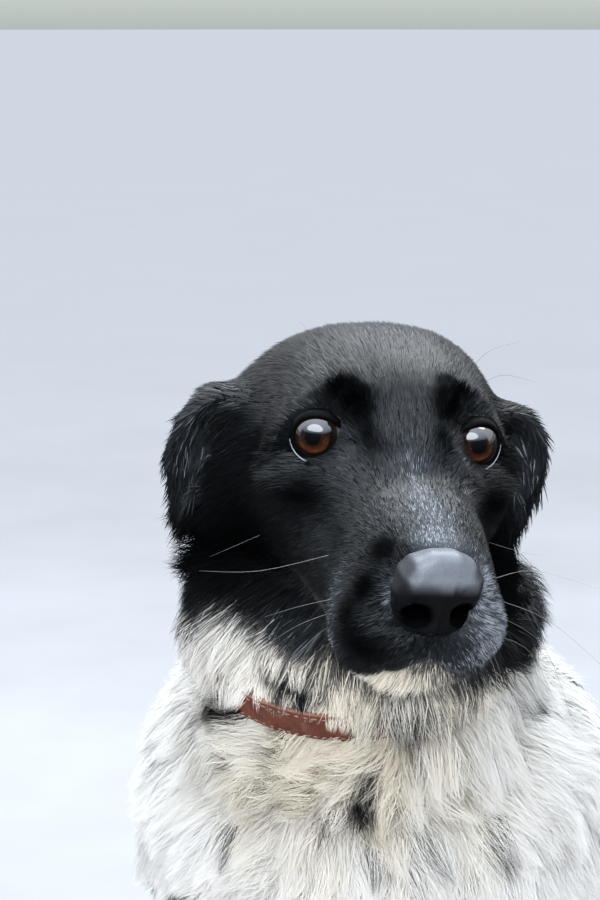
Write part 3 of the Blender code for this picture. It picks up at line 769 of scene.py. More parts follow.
def clumped(roots, tips, size, strength, rng):
    """The tips drawn together, lock by lock. Locks are about size millimetres across."""
    # The warp keeps the locks from having straight borders
    warp = np.stack([ripple(roots / MM, size * 2.2, seed) for seed in (31, 32, 33)], 1)
    lock = cells_of(roots / MM + 0.45 * size * warp, size)
    count = np.bincount(lock)[:, None]
    centre = np.stack([np.bincount(lock, tips[:, k]) for k in range(3)], 1) / count
    longer = 1 + 0.10 * rng.normal(size=(len(count), 1))
    root_centre = np.stack([np.bincount(lock, roots[:, k]) for k in range(3)], 1) / count
    centre = root_centre + (centre - root_centre) * longer
    return tips + (centre[lock] - tips) * strength


def hair_shape(
    roots, normals, rng, width, rings, scatter, lock_size, lock_pull, droop, roll, curl=0.0, sway=0.0
):
    """The cross lines of each hair: centres and half-width vectors, ring by ring.

    scatter and sway turn hairs aside, one by one and in waves. droop bends them down towards the tip,
    lock_pull draws the tips of a lock together, curl bows hairs sideways and roll turns their faces.
    """
    way, length, lift = lie_of_hair(roots, tufts=True)
    at = roots / MM
    waves = [0.6 * ripple(at, 17, seed) + 0.4 * ripple(at, 7, seed + 5) for seed in (41, 42, 43, 44)]
    way = way + sway * np.stack(waves[:3], 1) + scatter * rng.normal(size=way.shape)
    lift = lift * (1 + 0.6 * sway * waves[3])
    way = unit(way - normals * (way * normals).sum(1)[:, None])
    length = length * MM * rng.uniform(0.72, 1.18, len(roots))
    lift = np.radians(np.clip(lift * rng.uniform(0.55, 1.5, len(roots)), 4, 80))
    places = RIBBON[rings]
    centres = [roots - normals * ROOT_DEPTH * MM]
    for before, here in zip(places, places[1:]):
        bend = lift * (1.35 - droop * (before + here) / 2)
        step = way * np.cos(bend)[:, None] + normals * np.sin(bend)[:, None]
        centres.append(centres[-1] + step * (length * (here - before))[:, None])
    tips = clumped(roots, centres[-1], lock_size, lock_pull, rng)
    if sway:
        tips = clumped(roots, tips, lock_size * 2.1, lock_pull * 0.7, rng)
    pull = tips - centres[-1]
    side = np.cross(way, normals)
    bow = side * (length * curl * np.clip(rng.normal(size=len(roots)), -1.6, 1.6))[:, None]
    centres = [
        centre + pull * place**1.6 + bow * place * (1 - place) for centre, place in zip(centres, places)
    ]
    roll = rng.normal(size=len(roots)) * roll
    flat = side * np.cos(roll)[:, None] + normals * np.sin(roll)[:, None]
    wide = width * MM * rng.uniform(0.7, 1.3, len(roots)) / 2
    return centres, [flat * (wide * part)[:, None] for part in TAPER[rings]]


def unwrap(roots, axis_from, axis_to, sides):
    """Each root's place on the region's skin unrolled round an axis, spread evenly over the unit square."""
    start, ahead = np.array(axis_from), unit(np.array(axis_to) - np.array(axis_from))
    offset = roots - start
    along = offset @ ahead
    across = unit(np.cross(ahead, (0.13, 0.99, 0.05) if abs(ahead[1]) < 0.8 else (1, 0, 0)))
    up = np.cross(ahead, across)
    found = np.empty((len(roots), 2))
    for part in np.unique(sides):
        own = sides == part
        centre = np.array([np.median(offset[own] @ across), np.median(offset[own] @ up)])
        turn = np.arctan2(offset[own] @ up - centre[1], offset[own] @ across - centre[0])
        order = np.empty(own.sum())
        order[np.argsort(turn)] = np.linspace(0, 1, own.sum())
        found[own, 0] = (order * 0.96 + 0.02 + part) / (sides.max() + 1)
        order[np.argsort(along[own])] = np.linspace(0, 1, own.sum())
        found[own, 1] = order * 0.96 + 0.02
    return found


def hair_mesh(name, centres, halves, normals, soften):
    """The hairs as ribbons of one mesh. Its shading normals are softened towards the skin's."""
    count, rings = len(normals), len(halves)
    across = 2 * rings + 1
    points = np.empty((count, across, 3))
    for ring, half in enumerate(halves):
        points[:, 2 * ring] = centres[ring] - half
        points[:, 2 * ring + 1] = centres[ring] + half
    points[:, -1] = centres[-1]
    hair_corners = []
    for first in range(0, 2 * rings - 2, 2):
        hair_corners += [first, first + 1, first + 3, first + 2]
    hair_corners = np.array(hair_corners + [across - 3, across - 2, across - 1])
    corners = np.arange(count)[:, None] * across + hair_corners
    face_sizes = np.tile([4] * (rings - 1) + [3], count)
    mesh = bpy.data.meshes.new(name)
    mesh.vertices.add(count * across)
    mesh.loops.add(corners.size)
    mesh.polygons.add(count * rings)
    mesh.vertices.foreach_set("co", at_floor(points).astype(np.float32).ravel())
    mesh.loops.foreach_set("vertex_index", corners.astype(np.int32).ravel())
    mesh.polygons.foreach_set("loop_start", (np.cumsum(face_sizes) - face_sizes).astype(np.int32))
    mesh.update(calc_edges=True)
    rows = [k // 2 for k in range(across)]
    along_hair = [unit(centres[min(row + 1, rings)] - centres[min(row, rings - 1)]) for row in rows]
    across_hair = [unit(halves[min(row, rings - 1)]) for row in rows]
    flat = np.cross(np.stack(across_hair, 1), np.stack(along_hair, 1))
    mesh.shade_smooth()
    facing = unit((1 - soften) * flat + soften * normals[:, None])
    mesh.normals_split_custom_set_from_vertices(facing.reshape(-1, 3))
    return mesh, hair_corners


def coat_piece(name, material, skin, chosen, weights, count, axis, two_sided, shape):
    """One joined mesh of hairs over the chosen triangles of the skin.

    A hair is mostly black or mostly light, and the markings say how likely it is black. Its luck, from 0
    to 1, is shared in part with the hairs beside it, and the finish lightens or stains it by that.
    """
    rng = np.random.default_rng(sum(map(ord, name)))
    roots, normals = sown(skin["points"], skin["normals"], skin["corners"][chosen], weights, count, rng)
    shape = dict(shape)
    soften, mark_at = shape.pop("soften"), shape.pop("mark_at", 0.2)
    centres, halves = hair_shape(roots, normals, rng, **shape)
    mesh, hair_corners = hair_mesh(name, centres, halves, normals, soften)
    across = 2 * shape["rings"] + 1
    along = np.array([RIBBON[shape["rings"]][k // 2] for k in range(across)], float)
    aside = np.array([k % 2 - 0.5 for k in range(across - 1)] + [0.0])
    patch = np.stack([aside, along - 0.5], 1) * HAIR_ON_MAP
    sides = (in_frame(roots, DOG)[:, 0] > 0).astype(int) if two_sided else np.zeros(count, int)
    layer = mesh.uv_layers.new(name="OFBake", do_init=False)
    uv = (unwrap(roots, *axis, sides)[:, None] + patch[hair_corners][None]).astype(np.float32)
    layer.uv.foreach_set("vector", uv.ravel())
    black, cream, silver = markings(roots + mark_at * (centres[-1] - roots))
    black = np.clip(black, 0, 1)
    black = np.where(rng.uniform(size=count) < black, 0.35 * black + 0.65, 0.25 * black)
    strand = cells_of(roots / MM, 0.3 * shape["lock_size"])
    luck = rng.uniform(size=strand.max() + 1)[strand] + rng.uniform(size=count)
    luck = np.argsort(np.argsort(luck)) / count
    of_hair = {"black": black, "cream": cream, "silver": silver, "luck": luck}
    repeated = {key: np.repeat(values, across) for key, values in of_hair.items()}
    mark(mesh, **repeated, along=np.tile(along, count))
    piece = as_piece(name, mesh, material)
    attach(piece, "root")


# ---------------------------------------------------------------- finishes

class Term:
    """A socket that can be used in sums."""

    def __init__(self, tree, socket):
        self.tree, self.socket = tree, socket

    def _with(self, operation, *others, swap=False):
        node = self.tree.nodes.new("ShaderNodeMath")
        node.operation = operation
        terms = (*others, self) if swap else (self, *others)
        for slot, term in zip(node.inputs, terms):
            if isinstance(term, Term):
                self.tree.links.new(term.socket, slot)
            else:
                slot.default_value = term
        return Term(self.tree, node.outputs[0])

    def __add__(self, other):
        return self._with("ADD", other)

    def __mul__(self, other):
        return self._with("MULTIPLY", other)

    def __sub__(self, other):
        return self._with("SUBTRACT", other)

    def __rsub__(self, other):
        return self._with("SUBTRACT", other, swap=True)

    __radd__ = __add__
    __rmul__ = __mul__


class Finish:
    """A Principled material: constants on its sockets, and nodes for what changes over the surface."""

    def __init__(self, name, **constants):
        self.material = bpy.data.materials.new(name)
        self.material.use_nodes = True
        self.tree = self.material.node_tree
        self.shader = self.tree.nodes["Principled BSDF"]
        for socket, value in constants.items():
            self.shader.inputs[socket.replace("_", " ")].default_value = value

    def node(self, kind, settings=None, sockets=None, out=0):
        node = self.tree.nodes.new("ShaderNode" + kind)
        for setting, value in (settings or {}).items():
            if setting == "stops":
                ramp = node.color_ramp
                while len(ramp.elements) < len(value):
                    ramp.elements.new(0.5)
                for element, (place, colour) in zip(ramp.elements, value):
                    element.position = place
                    element.color = (*colour, 1)
            else:
                setattr(node, setting, value)
        for socket, value in (sockets or {}).items():
            if isinstance(value, Term):
                self.tree.links.new(value.socket, node.inputs[socket])
            else:
                node.inputs[socket].default_value = value
        return Term(self.tree, node.outputs[out])

    def attribute(self, name):
        return self.node("Attribute", {"attribute_name": name}, out=2)

    def place(self):
        return self.node("TexCoord", out=3)

    def noise(self, scale, detail=3.0, roughness=0.5, vector=None):
        vector = vector or self.place()
        sockets = {"Vector": vector, "Scale": scale, "Detail": detail, "Roughness": roughness}
        return self.node("TexNoise", {}, sockets)

    def furrows(self, scale):
        """How far each place is from the edge of its cell."""
        sockets = {"Vector": self.place(), "Scale": scale}
        return self.node("TexVoronoi", {"feature": "DISTANCE_TO_EDGE"}, sockets)

    def ranged(self, value, low, high, to_low=0.0, to_high=1.0):
        return self.node("MapRange", {}, {0: value, 1: low, 2: high, 3: to_low, 4: to_high})

    def mix(self, share, first, second, kind="MIX"):
        sockets = {0: share}
        for index, colour in ((6, first), (7, second)):
            sockets[index] = colour if isinstance(colour, Term) else (*colour, 1)
        return self.node("Mix", {"data_type": "RGBA", "blend_type": kind}, sockets, out=2)

    def bump(self, height, strength, distance):
        return self.node("Bump", {}, {"Height": height, "Strength": strength, "Distance": distance})

    def wear(self, **links):
        for socket, term in links.items():
            self.tree.links.new(term.socket, self.shader.inputs[socket.replace("_", " ")])
        return self.material


# Colours of the hair. GREY is for greyer hair and for painted sheen, DEEPEST_BLACK for deeper black and for
# painted shade
WHITE, BRIGHT_WHITE = (0.88, 0.88, 0.87), (0.93, 0.92, 0.89)
# ROOT_SHADE_CREAM and ROOT_SHADE_BLACK are painted shade at the hairs' roots, where the hairs shade each
# other
CREAM, STAINED, ROOT_SHADE_CREAM = (0.83, 0.76, 0.62), (0.64, 0.57, 0.46), (0.66, 0.57, 0.44)
BLACK, DEEPEST_BLACK, ROOT_SHADE_BLACK = (0.0058, 0.0068, 0.0078), (0.0007, 0.0008, 0.001), (0.003, 0.003, 0.0035)
GREYER_BLACK, GREY, SILVER = (0.030, 0.034, 0.038), (0.043, 0.052, 0.062), (0.34, 0.37, 0.41)


def coat_colours(finish, along=None, luck=None):
    """The coat's colour, from the markings that skin and tufts both carry, and how black it is. The
    markings bring painted sheen and painted shade, and hairs get painted shade towards their roots.
    """
    black, cream, silver = (finish.attribute(name) for name in ("black", "cream", "silver"))
    # Above 0 the markings give greyer hair and painted sheen, below 0 deeper black and painted shade
    silver_and_sheen = finish.ranged(silver, 0.0, 1.0)
    deep_black_and_shade = finish.ranged(silver, 0.0, -1.0)
    white = finish.mix(cream, WHITE, CREAM)
    dark = finish.mix(deep_black_and_shade, BLACK, DEEPEST_BLACK)
    if luck is None:
        silver_hair = silver_and_sheen * 0.3
    else:
        silver_hair = finish.ranged(luck - silver_and_sheen * 0.8, 0.0, -0.25, 0.0, 0.9)
        white = finish.mix(finish.ranged(luck, 0.4, 1.0, 0.0, 0.6), white, BRIGHT_WHITE)
        white = finish.mix(finish.ranged(luck, 0.3, 0.0, 0.0, 0.35), white, STAINED)
        dark = finish.mix(finish.ranged(luck + deep_black_and_shade * -1.0, 0.55, 1.0, 0.0, 0.8), dark, GREYER_BLACK)
    dark = finish.mix(silver_and_sheen, dark, GREY)
    dark = finish.mix(silver_hair, dark, SILVER)
    if along is not None:
        # Painted shade: each hair is darker towards its root
        white = finish.mix(finish.ranged(along, 0.0, 0.6), finish.mix(0.3, white, ROOT_SHADE_CREAM), white)
        dark = finish.mix(finish.ranged(along, 0.0, 0.5, 0.35, 1.0), ROOT_SHADE_BLACK, dark)
    return finish.mix(black, white, dark), black


def hair_finish():
    """Each hair's sheen is its clear coat: strong on black hair, weak on white and on the deepest black."""
    finish = Finish("dog_hair", Specular_IOR_Level=0.0, Coat_Roughness=0.34, Coat_IOR=1.5)
    along, luck = finish.attribute("along"), finish.attribute("luck")
    colour, black = coat_colours(finish, along, luck)
    # Painted shade: the deepest black, where the hair's sheen is also taken away
    deep_black_and_shade = finish.ranged(finish.attribute("silver"), 0.0, -0.7)
    sheen = (black * 0.6 + 0.2) * finish.ranged(deep_black_and_shade, 0.0, 1.0, 1.0, 0.06)
    rough = finish.ranged(black, 0.0, 1.0, 0.62, 0.5)
    return finish.wear(Base_Color=colour, Coat_Weight=sheen, Roughness=rough)


def skin_finish():
    finish = Finish("short_hair_on_skin", Specular_IOR_Level=0.02)
    colour, black = coat_colours(finish)
    grain = finish.noise(900.0, 4.0, 0.6)
    # Painted shade in the grain of the short hair: the colour is darker where the grain is low
    grain_shade = finish.ranged(grain, 0.35, 0.65, 0.55, 0.0)
    shaded = finish.mix(grain_shade, colour, (0.02, 0.018, 0.016), "MULTIPLY")
    rough = finish.ranged(black, 0.0, 1.0, 0.75, 0.5)
    return finish.wear(Base_Color=shaded, Roughness=rough, Normal=finish.bump(grain, 0.6, 0.0006))


IRIS_STOPS = (
    (0.0, (0.008, 0.003, 0.002)),
    (0.35, (0.030, 0.009, 0.004)),
    (0.7, (0.105, 0.032, 0.010)),
    (1.0, (0.36, 0.13, 0.040)),
)
INNER_RING, IRIS_RIM, PUPIL = (0.012, 0.006, 0.003), (0.003, 0.002, 0.002), (0.001, 0.001, 0.0015)
EYE_WHITE, EYE_VEINS, EYE_SHADE = (0.50, 0.43, 0.40), (0.36, 0.22, 0.19), (0.008, 0.005, 0.004)


def eye_finish():
    """Iris, pupil and white of the eye, by the angle in degrees from the eye's axis. The iris has painted
    light, brighter low down.
    """
    finish = Finish("eye", Roughness=0.5, Specular_IOR_Level=0.05, Coat_Roughness=0.02, Coat_IOR=2.4)
    angle, turn, height = (finish.attribute(name) for name in ("angle", "turn", "height"))
    around = finish.node("CombineXYZ", {}, {0: turn * 3.0, 1: angle * 0.08, 2: 0.0})
    fibres = finish.noise(14.0, 5.0, 0.7, around)
    ringed = finish.node("CombineXYZ", {}, {0: turn * 0.6, 1: angle * 0.4, 2: 3.0})
    rings = finish.noise(3.0, 3.0, 0.6, ringed)
    amber_at = finish.ranged(fibres * 0.6 + rings * 0.65, 0.40, 0.82)
    amber = finish.node("ValToRGB", {"stops": IRIS_STOPS}, {0: amber_at})
    # Painted light: the iris is lighter towards its bottom, where light falls through the cornea
    painted_light = finish.mix(finish.ranged(height, 2.0, -5.0, 0.0, 1.0), (0.06, 0.06, 0.06), (1.0, 1.0, 1.0))
    iris = finish.mix(1.0, amber, painted_light, "MULTIPLY")
    iris = finish.mix(finish.ranged(angle + fibres * 8.0, 36.0, 23.0), iris, INNER_RING)
    iris = finish.mix(finish.ranged(angle, 33.0, 40.0), iris, IRIS_RIM)
    iris = finish.mix(finish.ranged(angle + fibres * 2.0, 19.5, 16.5), iris, PUPIL)
    veined = finish.mix(finish.ranged(fibres, 0.4, 0.7), EYE_WHITE, EYE_VEINS)
    # Painted shade: the white of the eye is near black except where it faces the nose
    white = finish.mix(finish.ranged(finish.attribute("inner"), 0.55, 0.85), EYE_SHADE, veined)
    colour = finish.mix(finish.ranged(angle, 41.5, 43.5), iris, white)
    return finish.wear(Base_Color=colour, Coat_Weight=finish.ranged(height, -4.0, 2.0, 0.12, 1.0))


def grained(finish, grain, colours, roughness, bump=None):
    """Colour, roughness and relief that all follow the same grain."""
    links = {"Base_Color": finish.mix(grain, *colours)}
    links["Roughness"] = finish.ranged(grain, 0.3, 0.7, *roughness)
    if bump:
        links["Normal"] = finish.bump(grain, *bump)
    return finish.wear(**links)


def lid_finish():
    finish = Finish("eyelid", Specular_IOR_Level=0.06)
    colours = (0.0008, 0.0008, 0.0008), (0.003, 0.0026, 0.0026)
    return grained(finish, finish.noise(1400.0, 3.0), colours, (0.4, 0.6), (0.4, 0.0003))


def tear_finish():
    finish = Finish("wet_lid_edge_painted_reflection", Roughness=0.06, Coat_Weight=1.0, Coat_Roughness=0.02)
    # Painted reflection: the wet edge is coloured pale bluish white, as the sky's reflection in it
    painted_wet_reflection = finish.mix(finish.noise(500.0, 2.0), (0.24, 0.27, 0.31), (0.48, 0.52, 0.60))
    return finish.wear(Base_Color=painted_wet_reflection)


def nose_finish():
    """Pebbled, moist leather: fine cells with dark furrows, with a painted grey sheen on top."""
    finish = Finish("nose_leather", Specular_IOR_Level=0.02, Coat_Roughness=0.32)
    raised = finish.ranged(finish.furrows(1150.0), 0.02, 0.28)
    cloud = finish.noise(120.0, 4.0)
    top, hole = finish.attribute("top"), finish.attribute("hole")
    # Painted sheen: the top is a pale bluish grey, the rest near black
    base = finish.mix(top, (0.004, 0.004, 0.005), (0.19, 0.205, 0.235))
    paler = finish.mix(top, (0.008, 0.008, 0.009), (0.27, 0.285, 0.32))
    base = finish.mix(finish.ranged(cloud, 0.3, 0.7, 0.0, 0.5), base, paler)
    colour = finish.mix(finish.ranged(raised, 0.0, 1.0, 0.18, 0.0), base, (0.006, 0.006, 0.007))
    return finish.wear(
        # Painted shade: the nostrils are near black inside
        Base_Color=finish.mix(hole, colour, (0.0004, 0.0004, 0.0005)),
        Coat_Weight=finish.ranged(hole, 0.0, 0.8, 0.55, 0.0),
        Roughness=finish.ranged(cloud, 0.3, 0.7, 0.34, 0.5),
        Normal=finish.bump(raised, 0.3, 0.0003),
    )


def claw_finish():
    finish = Finish("claw_horn")
    colours = (0.035, 0.028, 0.024), (0.12, 0.095, 0.08)
    return grained(finish, finish.noise(260.0, 3.0), colours, (0.28, 0.45), (0.2, 0.0004))


def whisker_finish():
    finish = Finish("whisker")
    pale = finish.attribute("pale")
    colour = finish.mix(pale, (0.004, 0.004, 0.005), (0.50, 0.50, 0.50))
    return finish.wear(Base_Color=colour, Roughness=finish.ranged(pale, 0.0, 1.0, 0.3, 0.45))


def strap_finish():
    """Reddish brown leather, darker in its creases and rubbed pale along its edges."""
    finish = Finish("collar_leather", Coat_Weight=0.15, Coat_Roughness=0.35)
    grain = finish.furrows(900.0)
    cloud = finish.noise(60.0, 5.0, 0.6)
    scuffs = finish.noise(210.0, 6.0, 0.7)
    edge = finish.attribute("edge")
    colour = finish.mix(finish.ranged(cloud, 0.3, 0.7), (0.085, 0.022, 0.014), (0.23, 0.066, 0.036))
    colour = finish.mix(finish.ranged(scuffs, 0.55, 0.75, 0.0, 0.6), colour, (0.34, 0.16, 0.10))
    rubbed = finish.ranged(edge * 0.8 + scuffs * 0.5, 0.7, 1.1, 0.0, 0.7)
    colour = finish.mix(rubbed, colour, (0.42, 0.24, 0.16))
    return finish.wear(
        Base_Color=finish.mix(finish.ranged(grain, 0.0, 0.10, 0.45, 0.0), colour, (0.03, 0.008, 0.006)),
        Roughness=finish.ranged(scuffs, 0.3, 0.7, 0.38, 0.62),
        Normal=finish.bump(finish.ranged(grain, 0.0, 0.2), 0.4, 0.0003),
    )


def thread_finish():
    finish = Finish("stitching")
    return grained(finish, finish.noise(1500.0, 2.0), ((0.20, 0.12, 0.08), (0.42, 0.30, 0.21)), (0.6, 0.8))


def brass_finish():
    finish = Finish("buckle_metal", Metallic=1.0)
    wear_and_shade = finish.noise(180.0, 5.0, 0.65)
    return finish.wear(
        Base_Color=finish.mix(finish.ranged(wear_and_shade, 0.35, 0.7), (0.50, 0.40, 0.24), (0.24, 0.18, 0.10)),
        Roughness=finish.ranged(wear_and_shade, 0.3, 0.7, 0.22, 0.45),
        Normal=finish.bump(wear_and_shade, 0.15, 0.0003),
    )


def floor_finish():
    """A pale floor, with painted shade that makes it a little darker near the dog."""
    finish = Finish("pale_floor", Specular_IOR_Level=0.1)
    speckle = finish.noise(2.0, 5.0, 0.55)
    away = finish.node("VectorMath", {"operation": "LENGTH"}, {0: finish.place()}, out=1)
    # Painted shade: the floor is a little darker near the dog
    wear_and_shade = finish.mix(finish.ranged(away, 4.5, 1.1, 0.0, 1.0), (0.52, 0.522, 0.532), (0.455, 0.45, 0.452))
    colour = finish.mix(finish.ranged(speckle, 0.35, 0.65), wear_and_shade, (0.53, 0.532, 0.545))
    return finish.wear(Base_Color=colour, Roughness=finish.ranged(speckle, 0.3, 0.7, 0.8, 0.95))


# ---------------------------------------------------------------- eyes, nose and whiskers

GAZE_OUTWARD = {"left": 17.0, "right": 13.0}  # degrees from the aim point
GAZE_DOWN = 5.0
CORNEA_RISE, CORNEA_ANGLE = 0.08, 42


def build_eye(side, label, aim):
    """An eyeball with a raised cornea. Its iris faces the aim point, but for the turns above."""
    place = eye_frame(side)
    gaze = (aim - place.translation).normalized()
    up = HEAD.to_3x3() @ Vector((0, 0, 1))
    gaze = Matrix.Rotation(math.radians(GAZE_OUTWARD[label] * side), 3, up) @ gaze
    gaze = Matrix.Rotation(math.radians(GAZE_DOWN), 3, up.cross(gaze)) @ gaze
    turn = gaze.to_track_quat("Z", "Y").to_matrix().to_4x4()
    turn.translation = place.translation
    bm = bmesh.new()
    bmesh.ops.create_uvsphere(bm, u_segments=64, v_segments=48, radius=EYE_RADIUS * MM)
    for vertex in bm.verts:
        angle = math.degrees(vertex.co.angle(Vector((0, 0, 1))))
        vertex.co *= 1 + CORNEA_RISE * math.exp(-((angle / CORNEA_ANGLE) ** 4))
    angles = [math.degrees(vertex.co.angle(Vector((0, 0, 1)))) for vertex in bm.verts]
    turns = [math.atan2(vertex.co.y, vertex.co.x) for vertex in bm.verts]
    heights = [vertex.co.y / MM for vertex in bm.verts]
    bmesh.ops.transform(bm, matrix=turn, verts=bm.verts)
    # The white shows only where the ball faces the nose; elsewhere the ball has a painted shade
    nose_way = HEAD.to_3x3() @ Vector((-side, 0, 0.15))
    inner = [max(0.0, (vertex.co - place.translation).normalized().dot(nose_way)) for vertex in bm.verts]
    piece = as_piece("eyeball_" + label, bm, EYE)
    mark(piece.data, angle=angles, turn=turns, height=heights, inner=inner)
    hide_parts("eye_" + label)
    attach(piece, "root")


SPUN_AT = 10  # radius of the spun ring before it is pulled to its place


def spin_round(bm, angle, steps, merge):
    """Spins the outline about z. A full turn is closed on itself."""
    bmesh.ops.spin(
        bm,
        geom=bm.verts[:] + bm.edges[:],
        angle=angle,
        steps=steps,
        axis=(0, 0, 1),
        cent=(0, 0, 0),
        use_merge=angle == 2 * math.pi,
    )
    bmesh.ops.remove_doubles(bm, verts=bm.verts, dist=merge)


def ring_on_eye(name, side, material, profile, lift, inset=0.0, part=None):
    """A rounded band along the edge of the lids: a circle spun round, or from one angle of the part to the
    other, and pulled to the lids' outline.
    """
    place = eye_frame(side)
    bm = bmesh.new()
    upright = Matrix.Translation((SPUN_AT, 0, 0)) @ Matrix.Rotation(math.pi / 2, 4, "X")
    bmesh.ops.create_circle(bm, segments=10, radius=1, matrix=upright)
    turn = 2 * math.pi if part is None else part[1] - part[0]
    if part is not None:
        bmesh.ops.rotate(bm, cent=(0, 0, 0), matrix=Matrix.Rotation(part[0], 3, "Z"), verts=bm.verts)
    spin_round(bm, turn, 72 if part is None else 40, merge=1e-4)
    if part is not None:
        ends = [edge for edge in bm.edges if edge.is_boundary]
        bmesh.ops.holes_fill(bm, edges=ends)
    bmesh.ops.recalc_face_normals(bm, faces=bm.faces)
    for vertex in bm.verts:
        angle = math.atan2(vertex.co.y, vertex.co.x)
        out = math.hypot(vertex.co.x, vertex.co.y) - SPUN_AT
        reach = INNER_UPPER if vertex.co.y > 0 else INNER_LOWER
        # The upper lid is the thicker one, and a part of a ring thins towards its ends
        size = profile * (1 + 0.55 * max(0.0, math.sin(angle)))
        if part is not None:
            along = (angle - part[0]) % (2 * math.pi) / turn
            size = profile * (0.25 + 0.75 * math.sin(math.pi * min(along, 1.0)))
        flat = Vector((INNER_WIDTH * math.cos(angle), reach * math.sin(angle), 0))
        flat += flat.normalized() * (inset + out * size + (0 if part else size)) + Vector((*LID_MIDDLE, 0))
        reach_out = EYE_RADIUS + lift + vertex.co.z * size
        depth = math.sqrt(max(EYE_RADIUS**2 - min(flat.length, EYE_RADIUS) ** 2, 1.0))
        vertex.co = Vector((flat.x, flat.y, depth)).normalized() * reach_out * MM
    bmesh.ops.transform(bm, matrix=place, verts=bm.verts)
    piece = as_piece(name, bm, material)
    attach(piece, "root")


NOSE_STROKES = {
    "fill the solid's nostril": ((8.2, -106, -38), (5.5, 6, 5.5), (-0.3, -3.6, -0.4)),
    "broad top": ((10, -102, -24), (9, 12, 6), (0.4, -0.4, 0.6)),
    "domed top": ((0, -104, -20), (9, 9, 5), (0, 0, 1.6)),
    "rounded side": ((17, -104, -32), (5, 9, 9), (-0.8, 0.6, 0)),
    "nostril": ((9.8, -110, -42.5), (5.0, 10, 4.4), (0.2, 9.0, 0.6)),
    "wing slit": ((15.6, -104, -44), (3.0, 6, 1.4), (-0.6, 1.4, 0)),
    "middle groove": ((0, -110, -47), (1.1, 8, 9), (0, 1.2, 0)),
    "brim": ((8, -112, -32), (10, 8, 5), (0, -1.6, 0.2)),
    "brim middle": ((0, -113, -33), (8, 8, 4), (0, -1.0, 0.2)),
    "below the brim": ((10, -112, -46), (9, 8, 5), (-0.6, 1.2, 0)),
}
NOSE_GRAIN = 0.8
NOSE_SWELL = 0.35
NOSE_TURN, NOSE_SHIFT, NOSE_PIVOT = 8, 2.4, 95  # degrees, sideways, and how far ahead it turns
NOSTRIL = ((10, -108, -43.5), (7.4, 16, 6.8))  # place and radii of the left one


def build_nose():
    """The nose pad and its nostrils, turned a little to the dog's left and set a little to its right."""
    bm = bmesh.new()
    node_copy(bm, "nose", NOSE_SWELL)
    nose = remeshed(as_piece("nose_pad", bm), NOSE_GRAIN)
    mesh = nose.data
    points = relaxed(points_of(mesh), edges_of(mesh), 45)
    head = in_frame(points, HEAD)
    mirrored = np.abs(head) * (1, -1, -1)
    hole = hill(mirrored, *NOSTRIL)
    points = stroked(points, NOSE_STROKES, HEAD)
    points = relaxed(points, edges_of(mesh), 1)
    head = in_frame(points, HEAD)
    turn = math.radians(NOSE_TURN)
    x, y = head[:, 0].copy(), head[:, 1] + NOSE_PIVOT
    head[:, 0] = x * math.cos(turn) - y * math.sin(turn) - NOSE_SHIFT
    head[:, 1] = x * math.sin(turn) + y * math.cos(turn) - NOSE_PIVOT
    points = out_of_frame(head, HEAD)
    move_points(mesh, points)
    normals = point_normals(points, triangles_of(mesh)) @ np.array(HEAD.to_3x3())
    # The top is what lies above a slanting line and faces neither sideways nor down; it gets a painted grey
    # sheen
    top = smoothstep(-35, -27.5, head[:, 2] + 0.37 * (head[:, 1] + 109))
    top *= 1 - 0.85 * smoothstep(0.15, 0.85, np.abs(normals[:, 0] + 0.05))
    top *= 0.62 + 0.38 * smoothstep(-0.2, 0.75, normals[:, 2])
    mark(mesh, top=top, hole=smoothstep(0.35, 0.62, hole))
    clad(mesh, NOSE_LEATHER)
    mesh.shade_smooth()
    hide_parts("nose")
    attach(nose, "root")


def tube(bm, path, radii, sides):
    """A round tube along the path, one ring at each point, closed at both ends. Returns its points."""
    rings = []
    for index, (point, radius) in enumerate(zip(path, radii)):
        ahead = path[min(index + 1, len(path) - 1)] - path[max(index - 1, 0)]
        facing = ahead.to_track_quat("Z", "Y").to_matrix().to_4x4()
        facing.translation = point
        made = bmesh.ops.create_circle(bm, segments=sides, radius=radius, matrix=facing)
        rings.append(made["verts"])
    for first, second in zip(rings, rings[1:]):
        edges = []
        for ring in (first, second):
            near = [edge for vertex in ring for edge in vertex.link_edges]
            edges += [edge for edge in near if all(end in ring for end in edge.verts)]
        bmesh.ops.bridge_loops(bm, edges=list(dict.fromkeys(edges)))
    for ring in (rings[0], rings[-1]):
        bmesh.ops.contextual_create(bm, geom=ring)
    return [vertex for ring in rings for vertex in ring]


def curve_through(points, count):
    """count points on a smooth curve through the given ones."""
    last = len(points) - 1
    found = []
    for step in range(count):
        place = step / (count - 1) * last
        first = min(int(place), last - 1)
        t = place - first
        a, b, c, d = (Vector(points[min(max(first + k, 0), last)]) for k in (-1, 0, 1, 2))
        found.append(b + 0.5 * t * (c - a + t * (2 * a - 5 * b + 4 * c - d + t * (3 * (b - c) + d - a))))
    return found


